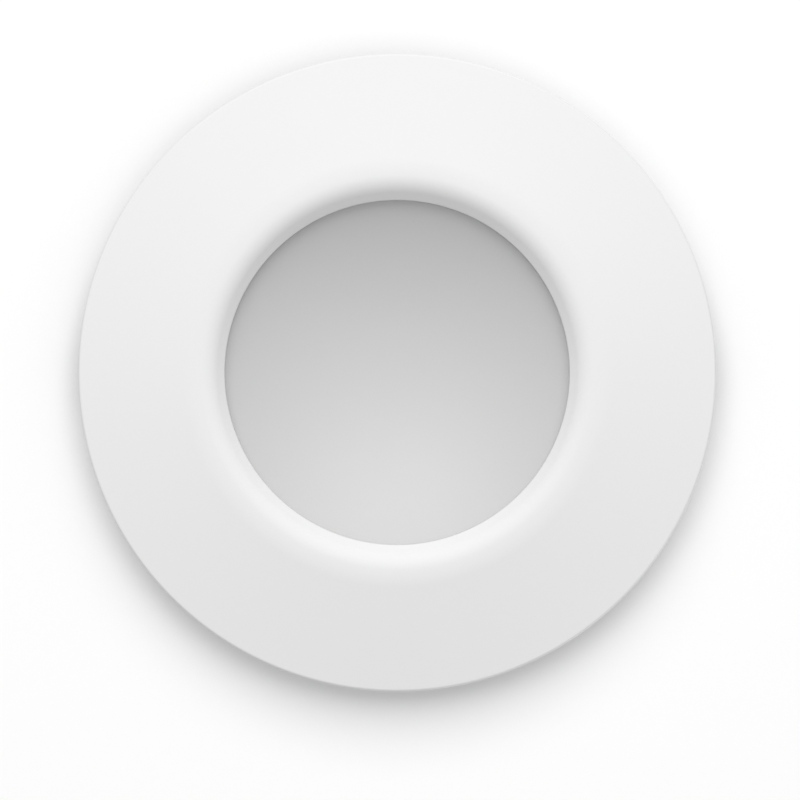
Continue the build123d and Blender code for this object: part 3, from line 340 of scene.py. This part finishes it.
def cast_skin():
    """Blasted casting: small round pits from cells, over a coarse mottling."""
    tree, given, result = effect("cast_skin", SKIN_IN, SKIN_OUT)
    place = object_place(tree, given.outputs["Stretch"])
    cells = tree.nodes.new("ShaderNodeTexVoronoi")
    tree.links.new(place, cells.inputs["Vector"])
    tree.links.new(given.outputs["Grain"], cells.inputs["Scale"])
    mottle = noise(tree, place, scale=240.0, detail=4.0, rough=0.6)
    pits = math_node(tree, "MULTIPLY", cells.outputs["Distance"], 1.3, clamp=True)
    share = blotches(tree, pits, mottle, fine_share=0.45, floor=0.25, gain=2.0)
    close_skin(tree, given, result, share, pits)
    return tree


def drawn_skin():
    """Drawn or rolled metal: streaks from noise that the stretch pulls out along the work."""
    tree, given, result = effect("drawn_skin", SKIN_IN, SKIN_OUT)
    place = object_place(tree, given.outputs["Stretch"])
    lines = noise(tree, place, given.outputs["Grain"], detail=4.0, rough=0.65)
    stains = noise(tree, place, scale=160.0, detail=3.0, rough=0.5)
    share = blotches(tree, lines, stains, fine_share=0.7, floor=0.3, gain=2.5)
    close_skin(tree, given, result, share, lines)
    return tree


skins = {"fine": fine_skin(), "cast": cast_skin(), "drawn": drawn_skin()}
finishes = {}


def finish(name, skin, colour, shade, grain, rough, spread, metal=0.0, specular=0.5, bump=0.1, depth=0.02,
           edge=0.0, stretch=(1, 1, 1), coat=0.0):
    """Material of one finish: a skin group drives colour, roughness and bump; edge is the radius in
    millimetres over which sharp edges are softened; depth is the bump's full depth in millimetres."""
    made = bpy.data.materials.new(name)
    made.use_nodes = True
    tree = made.node_tree
    shader = tree.nodes["Principled BSDF"]
    group = tree.nodes.new("ShaderNodeGroup")
    group.node_tree = skins[skin]
    group.inputs["Colour"].default_value = (*colour, 1)
    group.inputs["Shade"].default_value = (*shade, 1)
    group.inputs["Grain"].default_value = grain
    group.inputs["Roughness"].default_value = rough
    group.inputs["Spread"].default_value = spread
    group.inputs["Stretch"].default_value = stretch
    relief = tree.nodes.new("ShaderNodeBump")
    relief.inputs["Strength"].default_value = bump
    relief.inputs["Distance"].default_value = depth * MM
    tree.links.new(group.outputs["Height"], relief.inputs["Height"])
    if edge:
        soft = tree.nodes.new("ShaderNodeBevel")
        soft.samples = 6
        soft.inputs["Radius"].default_value = edge * MM
        tree.links.new(soft.outputs["Normal"], relief.inputs["Normal"])
    tree.links.new(group.outputs["Colour"], shader.inputs["Base Color"])
    tree.links.new(group.outputs["Roughness"], shader.inputs["Roughness"])
    tree.links.new(relief.outputs["Normal"], shader.inputs["Normal"])
    shader.inputs["Metallic"].default_value = metal
    shader.inputs["Specular IOR Level"].default_value = specular
    shader.inputs["Coat Weight"].default_value = coat
    finishes[name] = made


def grey(value):
    """Neutral colour of one value."""
    return (value, value, value)


# What shows in the photograph
finish("bezel_paint", "fine", grey(0.803), grey(0.797),
       grain=1600, rough=0.75, spread=0.06, specular=0.2, bump=0.05, depth=0.012)
finish("opal", "fine", grey(0.573), grey(0.567),
       grain=2600, rough=0.50, spread=0.05, bump=0.04, depth=0.010)
# Soft pieces
finish("gasket_rubber", "cast", (0.060, 0.060, 0.062), (0.040, 0.040, 0.042),
       grain=2200, rough=0.90, spread=0.08, specular=0.25, bump=0.5, depth=0.05)
finish("seal_rubber", "fine", (0.66, 0.66, 0.65), (0.60, 0.60, 0.59),
       grain=1800, rough=0.62, spread=0.08, specular=0.3, bump=0.08)
finish("cap_rubber", "fine", (0.030, 0.030, 0.032), (0.022, 0.022, 0.024),
       grain=1500, rough=0.52, spread=0.12, specular=0.4, bump=0.12, depth=0.03)
finish("grommet_rubber", "fine", (0.026, 0.026, 0.027), (0.018, 0.018, 0.019),
       grain=2000, rough=0.60, spread=0.12, specular=0.35, bump=0.15, depth=0.03)
finish("pad_grey", "fine", (0.28, 0.31, 0.36), (0.24, 0.27, 0.32),
       grain=1400, rough=0.80, spread=0.10, specular=0.3, bump=0.2)
# Metals
finish("sink_aluminium", "cast", (0.60, 0.61, 0.62), (0.48, 0.49, 0.50),
       grain=2600, rough=0.46, spread=0.14, metal=1.0, bump=0.35, depth=0.04, edge=0.18)
finish("clip_steel", "drawn", (0.66, 0.66, 0.66), (0.56, 0.56, 0.57),
       grain=1600, rough=0.34, spread=0.16, metal=1.0, bump=0.10, depth=0.01, edge=0.12,
       stretch=(1.0, 0.06, 1.0))
finish("spring_steel", "drawn", (0.50, 0.50, 0.52), (0.40, 0.40, 0.42),
       grain=2400, rough=0.28, spread=0.14, metal=1.0, bump=0.10, depth=0.01, stretch=(0.5, 1.0, 0.5))
finish("screw_steel", "drawn", (0.64, 0.64, 0.66), (0.54, 0.54, 0.57),
       grain=2600, rough=0.30, spread=0.16, metal=1.0, bump=0.10, depth=0.01, edge=0.10)
finish("contact_brass", "drawn", (0.74, 0.56, 0.27), (0.62, 0.45, 0.20),
       grain=2200, rough=0.30, spread=0.14, metal=1.0, bump=0.08, depth=0.01, edge=0.06)
# Moulded pieces
finish("box_plastic", "fine", (0.74, 0.74, 0.72), (0.70, 0.70, 0.68),
       grain=2400, rough=0.52, spread=0.12, specular=0.4, bump=0.22, depth=0.03, edge=0.20)
finish("reflector_white", "fine", (0.86, 0.86, 0.85), (0.83, 0.83, 0.82),
       grain=900, rough=0.22, spread=0.06, bump=0.03, edge=0.10)
finish("connector_plastic", "fine", (0.76, 0.74, 0.64), (0.70, 0.68, 0.58),
       grain=2400, rough=0.45, spread=0.10, edge=0.08)
finish("terminal_grey", "fine", (0.36, 0.37, 0.38), (0.31, 0.32, 0.33),
       grain=2200, rough=0.42, spread=0.12, bump=0.15, edge=0.12)
finish("button_brown", "fine", (0.130, 0.052, 0.024), (0.105, 0.040, 0.018),
       grain=2400, rough=0.38, spread=0.10, edge=0.10)
finish("button_green", "fine", (0.050, 0.230, 0.045), (0.038, 0.190, 0.036),
       grain=2400, rough=0.38, spread=0.10, edge=0.10)
finish("button_blue", "fine", (0.026, 0.090, 0.340), (0.020, 0.072, 0.290),
       grain=2400, rough=0.38, spread=0.10, edge=0.10)
finish("lead_red", "fine", (0.46, 0.020, 0.016), (0.38, 0.014, 0.012),
       grain=1800, rough=0.40, spread=0.10)
finish("lead_black", "fine", (0.016, 0.016, 0.016), (0.011, 0.011, 0.011),
       grain=1800, rough=0.40, spread=0.10)
finish("chip_black", "fine", (0.018, 0.018, 0.019), (0.013, 0.013, 0.014),
       grain=2600, rough=0.50, spread=0.12, bump=0.2, edge=0.08)
finish("film_red", "fine", (0.30, 0.030, 0.020), (0.25, 0.022, 0.016),
       grain=700, rough=0.22, spread=0.08, edge=0.25, coat=0.3)
finish("fuse_sleeve", "fine", (0.34, 0.22, 0.11), (0.28, 0.18, 0.09),
       grain=1500, rough=0.36, spread=0.10, edge=0.10)
finish("capacitor_sleeve", "fine", (0.018, 0.022, 0.050), (0.013, 0.016, 0.038),
       grain=900, rough=0.26, spread=0.10, edge=0.15)
finish("winding_tape", "drawn", (0.72, 0.48, 0.04), (0.64, 0.41, 0.03),
       grain=900, rough=0.25, spread=0.10, stretch=(1, 1, 4), edge=0.10)
finish("ferrite", "cast", (0.030, 0.030, 0.032), (0.018, 0.018, 0.020),
       grain=2400, rough=0.62, spread=0.14, bump=0.3, edge=0.12)
finish("board_green", "fine", (0.014, 0.120, 0.040), (0.010, 0.095, 0.030),
       grain=600, rough=0.30, spread=0.10, edge=0.06, coat=0.2)
finish("board_metal", "fine", (0.80, 0.80, 0.79), (0.76, 0.76, 0.75),
       grain=800, rough=0.36, spread=0.08, edge=0.06)
finish("chip_yellow", "fine", (0.82, 0.56, 0.10), (0.76, 0.50, 0.07),
       grain=2400, rough=0.45, spread=0.10, edge=0.05)

cad_finishes = {
    "sink_aluminium": ["heat_sink"],
    "clip_steel": ["clip_bracket_right", "clip_bracket_left", "clip_arm_right", "clip_arm_left"],
    "screw_steel": ["clip_pin_right", "clip_pin_left", "board_screws", "heat_sink_screws", "clip_screws",
                    "driver_base_screws", "driver_board_screws", "driver_cover_screws", "hinge_pin"],
    "contact_brass": ["terminal_contacts"],
    "box_plastic": ["driver_base", "driver_cover", "terminal_cover"],
    "reflector_white": ["reflector"],
    "connector_plastic": ["board_connector"],
    "terminal_grey": ["terminal_block"],
    "button_brown": ["terminal_button_live"],
    "button_green": ["terminal_button_earth"],
    "button_blue": ["terminal_button_neutral"],
    "lead_red": ["led_lead_positive"],
    "lead_black": ["led_lead_negative"],
    "chip_black": ["driver_chips"],
    "film_red": ["film_capacitor"],
    "fuse_sleeve": ["fuse_link"],
    "capacitor_sleeve": ["smoothing_capacitor"],
    "winding_tape": ["transformer_winding"],
    "ferrite": ["transformer_core", "output_choke"],
    "board_green": ["driver_board"],
    "board_metal": ["led_board"],
    "chip_yellow": ["led_chips"],
    "pad_grey": ["thermal_pad"],
}
for finish_name, node_names in cad_finishes.items():
    for node_name in node_names:
        for place in frame["nodes"][node_name].material_slots:
            place.material = finishes[finish_name]


# Bezel, diffuser and seals

def bezel():
    """Turned ring: thin edge, shallow cone, rolled lip, steep funnel, sharp opening, seat and spigot."""
    lip_out = LIP_R + LIP_ROUND_OUT * math.tan(FACE_SLOPE / 2)
    lip_z = BEZEL_EDGE_Z - (BEZEL_R - lip_out) * math.tan(FACE_SLOPE)
    lip_in = LIP_R - LIP_ROUND_IN * math.tan(FUNNEL_SLOPE / 2)
    funnel_z = lip_z + (lip_in - OPENING_R) * math.tan(FUNNEL_SLOPE)
    channel_in, channel_out = GASKET_IN_R - CHANNEL_PLAY, GASKET_OUT_R + CHANNEL_PLAY
    # Each corner: radius, height and rounding
    table = np.array([
        (OPENING_R, funnel_z, 0.12), (OPENING_R, LEDGE_Z, 0.10), (SEAT_R, LEDGE_Z, 0.06),
        (SEAT_R, SEAT_TOP_Z, 0.10), (BORE_R, SEAT_TOP_Z, 0.06), (BORE_R, SPIGOT_TOP_Z, 0.10),
        (SPIGOT_R - SPIGOT_CHAMFER, SPIGOT_TOP_Z, 0.10), (SPIGOT_R, SPIGOT_TOP_Z - SPIGOT_CHAMFER, 0.10),
        (SPIGOT_R, BEZEL_BACK_Z, 0.10), (channel_in, BEZEL_BACK_Z, 0.10), (channel_in, -GASKET_T, 0.06),
        (channel_out, -GASKET_T, 0.06), (channel_out, BEZEL_BACK_Z, 0.10),
        (BEZEL_R, BEZEL_BACK_Z, 0.15), (BEZEL_R, BEZEL_EDGE_Z, 0.5),
        (lip_out, lip_z, LIP_ROUND_OUT), (lip_in, lip_z, LIP_ROUND_IN),
    ])
    return lathe("bezel_ring", rounded_outline(table[:, :2], table[:, 2], steps=14), turns=360)


def diffuser():
    """Opal disc dished inwards: front and back are two equal spherical caps over a flat rim."""
    slope = 2 * math.atan(DIFFUSER_DISH / OPENING_R)
    knee = OPENING_R - DIFFUSER_DISH / math.tan(slope)
    radius = DISH_ROUND_SHARE * knee / math.tan(slope / 2)
    front, back = DIFFUSER_Z, DIFFUSER_Z + DIFFUSER_T
    # Each corner: radius, height and rounding
    table = np.array([
        (0, front + DIFFUSER_DISH, 0), (knee, front + DIFFUSER_DISH, radius), (OPENING_R, front, 0.5),
        (DIFFUSER_R, front, 0.3), (DIFFUSER_R, back, 0.3), (OPENING_R, back, 0.5),
        (knee, back + DIFFUSER_DISH, radius), (0, back + DIFFUSER_DISH, 0),
    ])
    return lathe("diffuser_disc", rounded_outline(table[:, :2], table[:, 2], steps=28, axis_ends=True))


def flat_ring(name, inner, outer, low, high, edge):
    """Flat ring with rounded edges."""
    corners = [(inner, low), (outer, low), (outer, high), (inner, high)]
    return lathe(name, rounded_outline(corners, [edge] * 4, steps=8))


put(bezel(), "bezel_paint", "bezel")
put(diffuser(), "opal", "diffuser")
put(flat_ring("ceiling_gasket_ring", GASKET_IN_R, GASKET_OUT_R, -GASKET_T, 0.0, edge=0.3),
    "gasket_rubber", "ceiling_gasket")
put(flat_ring("diffuser_seal_ring", SEAL_IN_R, DIFFUSER_R, LEDGE_Z, DIFFUSER_Z, edge=0.2),
    "seal_rubber", "diffuser_seal")
put(flat_ring("heat_sink_seal_ring", RING_R - RING_SECTION_R, RING_R + RING_SECTION_R,
              RING_Z - RING_SECTION_R, RING_Z + RING_SECTION_R, edge=RING_SECTION_R * 0.999),
    "seal_rubber", "heat_sink_seal")


def grommet():
    """Rubber grommet: an outer flange, a neck in the box's wall and a smaller inner flange, all soft."""
    # Each corner: radius, place along the inlet and rounding
    table = np.array([
        (INLET_R, WALL_OUT_Y - GROMMET_RIM, 0.5), (GROMMET_OUT_R, WALL_OUT_Y - GROMMET_RIM, 0.6),
        (GROMMET_OUT_R, WALL_OUT_Y, 0.12), (GROMMET_NECK_R, WALL_OUT_Y, 0.05),
        (GROMMET_NECK_R, WALL_IN_Y, 0.05), (GROMMET_IN_R, WALL_IN_Y, 0.12),
        (GROMMET_IN_R, WALL_IN_Y + GROMMET_RIM, 0.6), (INLET_R, WALL_IN_Y + GROMMET_RIM, 0.5),
    ])
    outline = rounded_outline(table[:, :2], table[:, 2], steps=8)
    return lathe("inlet_grommet_ring", outline, turns=96, axis="Y", height=INLET_Z)


put(grommet(), "grommet_rubber", "inlet_grommet")


# Sprung clips

def clip_frame(side):
    """Directions of a clip, for side +1 or -1: outward, up and along its pin, and the pin's middle."""
    out, up, pin = np.array([side, 0, 0.0]), np.array([0, 0, 1.0]), np.array([0, -side, 0.0])
    return out, up, pin, np.array([side * PIN_X, 0, PIN_Z])


def tube(name, path, radius, sides=20):
    """Round tube: at each point of the path a circle stands square to the path's direction, turned by the
    pin's own axis. Both ends have a chamfer and close to a point."""
    run = np.gradient(path, axis=0)
    run /= np.linalg.norm(run, axis=1, keepdims=True)
    pin = np.array([0.0, 1.0, 0.0])
    across = pin - run * (run @ pin)[:, None]
    across /= np.linalg.norm(across, axis=1, keepdims=True)
    over = np.cross(run, across)
    t = np.linspace(0, 2 * np.pi, sides, endpoint=False)
    round_ = np.cos(t)[None, :, None] * across[:, None] + np.sin(t)[None, :, None] * over[:, None]
    chamfer = 0.25 * radius
    ends = np.stack([path[0] - run[0] * chamfer, path[-1] + run[-1] * chamfer])
    rims = ends[:, None] + (radius - chamfer) * round_[[0, -1]]
    rings = np.concatenate([rims[:1], path[:, None] + radius * round_, rims[1:]])
    return surface(name, rings, ends)


def clip_spring(side_name, side):
    """Torsion spring: a leg up the bracket, five turns round the pin, and a leg along the top of the arm.
    The coil is (R cos t, R sin t) with its place along the pin eased in and out at both ends."""
    out, up, pin, middle = clip_frame(side)
    first = math.atan2(LEG_BACK, LEG_BACK_X) - math.acos(COIL_R / math.hypot(LEG_BACK, LEG_BACK_X))
    last = math.atan2(LEG_ABOVE, LEG_ARM) + math.acos(COIL_R / math.hypot(LEG_ABOVE, LEG_ARM)) - ARM_TILT
    spare = (first - last + math.pi) % (2 * math.pi) - math.pi
    sweep = 2 * math.pi * COIL_TURNS + spare
    half = COIL_PITCH * sweep / (4 * math.pi)
    share = np.linspace(0, 1, COIL_STEPS * COIL_TURNS + 1)
    t = first - sweep * share
    soft = COIL_EASE_TURNS / COIL_TURNS
    climb = np.where(share < soft, share ** 2 / (2 * soft), share - soft / 2)
    climb = np.where(share > 1 - soft, 1 - soft - (1 - share) ** 2 / (2 * soft), climb) / (1 - soft)
    coil = np.stack([COIL_R * np.cos(t), COIL_R * np.sin(t), half * (1 - 2 * climb)], -1)
    tip = (LEG_ARM * math.cos(ARM_TILT) + LEG_ABOVE * math.sin(ARM_TILT),
           LEG_ABOVE * math.cos(ARM_TILT) - LEG_ARM * math.sin(ARM_TILT), -half)
    step = np.linspace(0, 1, 25)[:, None]
    leg_up = np.array([LEG_BACK_X, LEG_BACK, half]) * (1 - step) + coil[0] * step
    leg_arm = coil[-1] * (1 - step) + np.array(tip) * step
    flat = np.concatenate([leg_up[:-1], coil, leg_arm[1:]])
    path = middle + flat @ np.stack([out, up, pin])
    piece = tube("clip_spring_wire_" + side_name, path, WIRE_R)
    put(piece, "spring_steel", "clip_spring_" + side_name, body=None)
    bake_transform(piece)


def clip_cap(side_name, side):
    """Rubber cap on an arm's tip: rounded-rectangle sections (a superellipse) that narrow with the arm,
    close with a rounded end, roll in at the mouth and line the arm inside."""
    out, up, pin, middle = clip_frame(side)
    along = out * math.cos(ARM_TILT) - up * math.sin(ARM_TILT)
    above = out * math.sin(ARM_TILT) + up * math.cos(ARM_TILT)
    mouth, tip = ARM_L - CAP_LAP, ARM_L + CAP_WALL

    def arm_half(s):
        """Half width of the arm's plate at a distance from the pin."""
        return ARM_HALF_W - (ARM_HALF_W - ARM_TIP_HALF_W) * np.clip((s - ARM_NECK) / (ARM_L - ARM_NECK), 0, 1)

    bend, lip = np.linspace(0, np.pi / 2, 9), np.linspace(0, np.pi, 11)
    outside = np.linspace(tip - CAP_NOSE, mouth + CAP_MOUTH, 24)[1:-1]
    lining = np.linspace(mouth + CAP_MOUTH, ARM_L + CAP_FIT, 12)[1:]
    # The bead swells the mouth's rim, but not where the rim meets the arm
    bead = CAP_BEAD * np.sin(lip) * (np.cos(lip) > -0.5)
    s = np.concatenate([tip - CAP_NOSE * (1 - np.cos(bend)), outside,
                        mouth + CAP_MOUTH - CAP_MOUTH * np.sin(lip), lining])
    wall = np.concatenate([CAP_WALL - CAP_NOSE * (1 - np.sin(bend)), np.full_like(outside, CAP_WALL),
                           (CAP_WALL + CAP_FIT + (CAP_WALL - CAP_FIT) * np.cos(lip)) / 2 + bead,
                           np.full_like(lining, CAP_FIT)])
    wide, thick = arm_half(s) + wall, ARM_HALF_T + wall
    t = np.linspace(0, 2 * np.pi, 72, endpoint=False)
    across, over = np.cos(t), np.sin(t)
    size = (np.abs(across) ** CAP_POWER + np.abs(over) ** CAP_POWER) ** (1 / CAP_POWER)
    rings = middle + s[:, None, None] * along + (wide[:, None] * across / size)[..., None] * pin \
        + (thick[:, None] * over / size)[..., None] * above
    piece = surface("clip_cap_boot_" + side_name, rings, middle + s[[0, -1], None] * along)
    put(piece, "cap_rubber", "clip_cap_" + side_name, body=side_name + "_clip")


for clip_name, clip_side in (("right", 1), ("left", -1)):
    clip_spring(clip_name, clip_side)
    clip_cap(clip_name, clip_side)


# Ceiling panel, table, lamps and camera
SPECKLE = 0.004
ROOM_LEVEL = 0.56


def staging(name, inner, outer, z, down):
    """Flat ring at a height that faces up or down and belongs to the setting, seen only by the camera."""
    turns = 128
    t = np.linspace(0, 2 * np.pi, turns, endpoint=False)
    r = np.array([inner, outer])[:, None]
    points = np.stack([r * np.cos(t), r * np.sin(t), np.full((2, turns), z)], -1).reshape(-1, 3)
    mesh = bpy.data.meshes.new(name)
    mesh.from_pydata((points * MM).tolist(), [], grid_faces(2, turns).tolist())
    mesh.update()
    if (mesh.polygons[0].normal.z > 0) == down:
        mesh.flip_normals()
    piece = bpy.data.objects.new(name, mesh)
    scene.collection.objects.link(piece)
    piece.visible_shadow = piece.visible_diffuse = piece.visible_glossy = piece.visible_transmission = False
    return piece


def staging_paint(name, value, fade=None, shade_reach=None, share=1.0):
    """Matte pale paint that is clear from behind. It may fade out between two radii in metres. It may take
    painted shade: darker by a share where something stands nearer than a distance in metres."""
    made = bpy.data.materials.new(name)
    made.use_nodes = True
    tree = made.node_tree
    shader, end = tree.nodes["Principled BSDF"], tree.nodes["Material Output"]
    where = tree.nodes.new("ShaderNodeTexCoord")
    speckle = noise(tree, where.outputs["Object"], scale=900.0, detail=2.0, rough=0.5)
    ramp = tree.nodes.new("ShaderNodeValToRGB")
    ramp.color_ramp.elements[0].color = (*grey(value - SPECKLE), 1)
    ramp.color_ramp.elements[1].color = (*grey(value + SPECKLE), 1)
    tree.links.new(speckle, ramp.inputs["Fac"])
    paint = ramp.outputs["Color"]
    if shade_reach:
        # Painted shade: ambient occlusion darkens the paint's colour near the part, a contact shadow painted into
        # the colour
        painted_shade = tree.nodes.new("ShaderNodeAmbientOcclusion")
        painted_shade.samples = 8
        painted_shade.inputs["Distance"].default_value = shade_reach
        tree.links.new(paint, painted_shade.inputs["Color"])
        paint = mixed_colour(tree, share, paint, painted_shade.outputs["Color"])
    tree.links.new(paint, shader.inputs["Base Color"])
    shader.inputs["Roughness"].default_value = 0.9
    shader.inputs["Specular IOR Level"].default_value = 0.2
    seen = tree.nodes.new("ShaderNodeNewGeometry")
    gone = seen.outputs["Backfacing"]
    if fade:
        far = tree.nodes.new("ShaderNodeVectorMath")
        far.operation = "LENGTH"
        tree.links.new(where.outputs["Object"], far.inputs[0])
        span = tree.nodes.new("ShaderNodeMapRange")
        span.interpolation_type = "SMOOTHSTEP"
        span.inputs["From Min"].default_value, span.inputs["From Max"].default_value = fade
        tree.links.new(far.outputs["Value"], span.inputs["Value"])
        gone = math_node(tree, "MAXIMUM", gone, span.outputs["Result"])
    clear = tree.nodes.new("ShaderNodeBsdfTransparent")
    both = tree.nodes.new("ShaderNodeMixShader")
    tree.links.new(gone, both.inputs["Fac"])
    tree.links.new(shader.outputs[0], both.inputs[1])
    tree.links.new(clear.outputs[0], both.inputs[2])
    tree.links.new(both.outputs[0], end.inputs["Surface"])
    return made


# The panel lies a little behind the gasket's face, so that its shadow is as wide as in the photograph
ceiling = staging("ceiling_panel", inner=36.0, outer=400.0, z=4.6, down=True)
# The ceiling's paint carries painted shade, darker within 7 mm of the part
ceiling.data.materials.append(staging_paint("ceiling_paint", 0.962, shade_reach=0.007, share=0.35))
table_top = staging("table_top", inner=0.01, outer=900.0, z=-6.2, down=False)
# The table's paint carries painted shade, darker within 30 mm of the part, as a contact shadow under the rim
table_top.data.materials.append(staging_paint("table_paint", 0.93, fade=(0.12, 0.5), shade_reach=0.03))


def soft_lamp(name, place, size, power):
    """Square lamp that faces the light's middle."""
    lamp = bpy.data.lights.new(name, "AREA")
    lamp.energy, lamp.size = power, size
    holder = bpy.data.objects.new(name, lamp)
    scene.collection.objects.link(holder)
    holder.location = place
    holder.rotation_euler = (-Vector(place)).to_track_quat("-Z", "Y").to_euler()


soft_lamp("room_lamp", place=(0, 0.913, -1.19), size=1.4, power=17.5)
soft_lamp("loft_lamp", place=(-0.75, -0.85, 1.15), size=1.0, power=15.0)

sky = bpy.data.worlds.new("pale_room")
scene.world = sky
sky.use_nodes = True
backdrop = sky.node_tree.nodes["Background"]
rays = sky.node_tree.nodes.new("ShaderNodeLightPath")
# The room is white where it is seen, and lights the part at its own level
shown = math_node(sky.node_tree, "MAXIMUM", rays.outputs["Is Camera Ray"], rays.outputs["Is Glossy Ray"])
shown = math_node(sky.node_tree, "MAXIMUM", shown, rays.outputs["Is Transmission Ray"])
strength = sky.node_tree.nodes.new("ShaderNodeMapRange")
strength.inputs["To Min"].default_value, strength.inputs["To Max"].default_value = ROOM_LEVEL, 1.0
sky.node_tree.links.new(shown, strength.inputs["Value"])
sky.node_tree.links.new(strength.outputs["Result"], backdrop.inputs["Strength"])
backdrop.inputs["Color"].default_value = (1, 1, 1, 1)

# The camera looks straight up at the face, a little off the axis as the photograph is framed
lens = bpy.data.cameras.new("camera")
lens.lens, lens.sensor_width = 100.0, 36.0
camera = bpy.data.objects.new("camera", lens)
scene.collection.objects.link(camera)
camera.location = (-0.0004, -0.00387, -0.3157)
camera.rotation_euler = (math.pi, 0, math.pi)
scene.camera = camera
scene.view_settings.view_transform = "Standard"
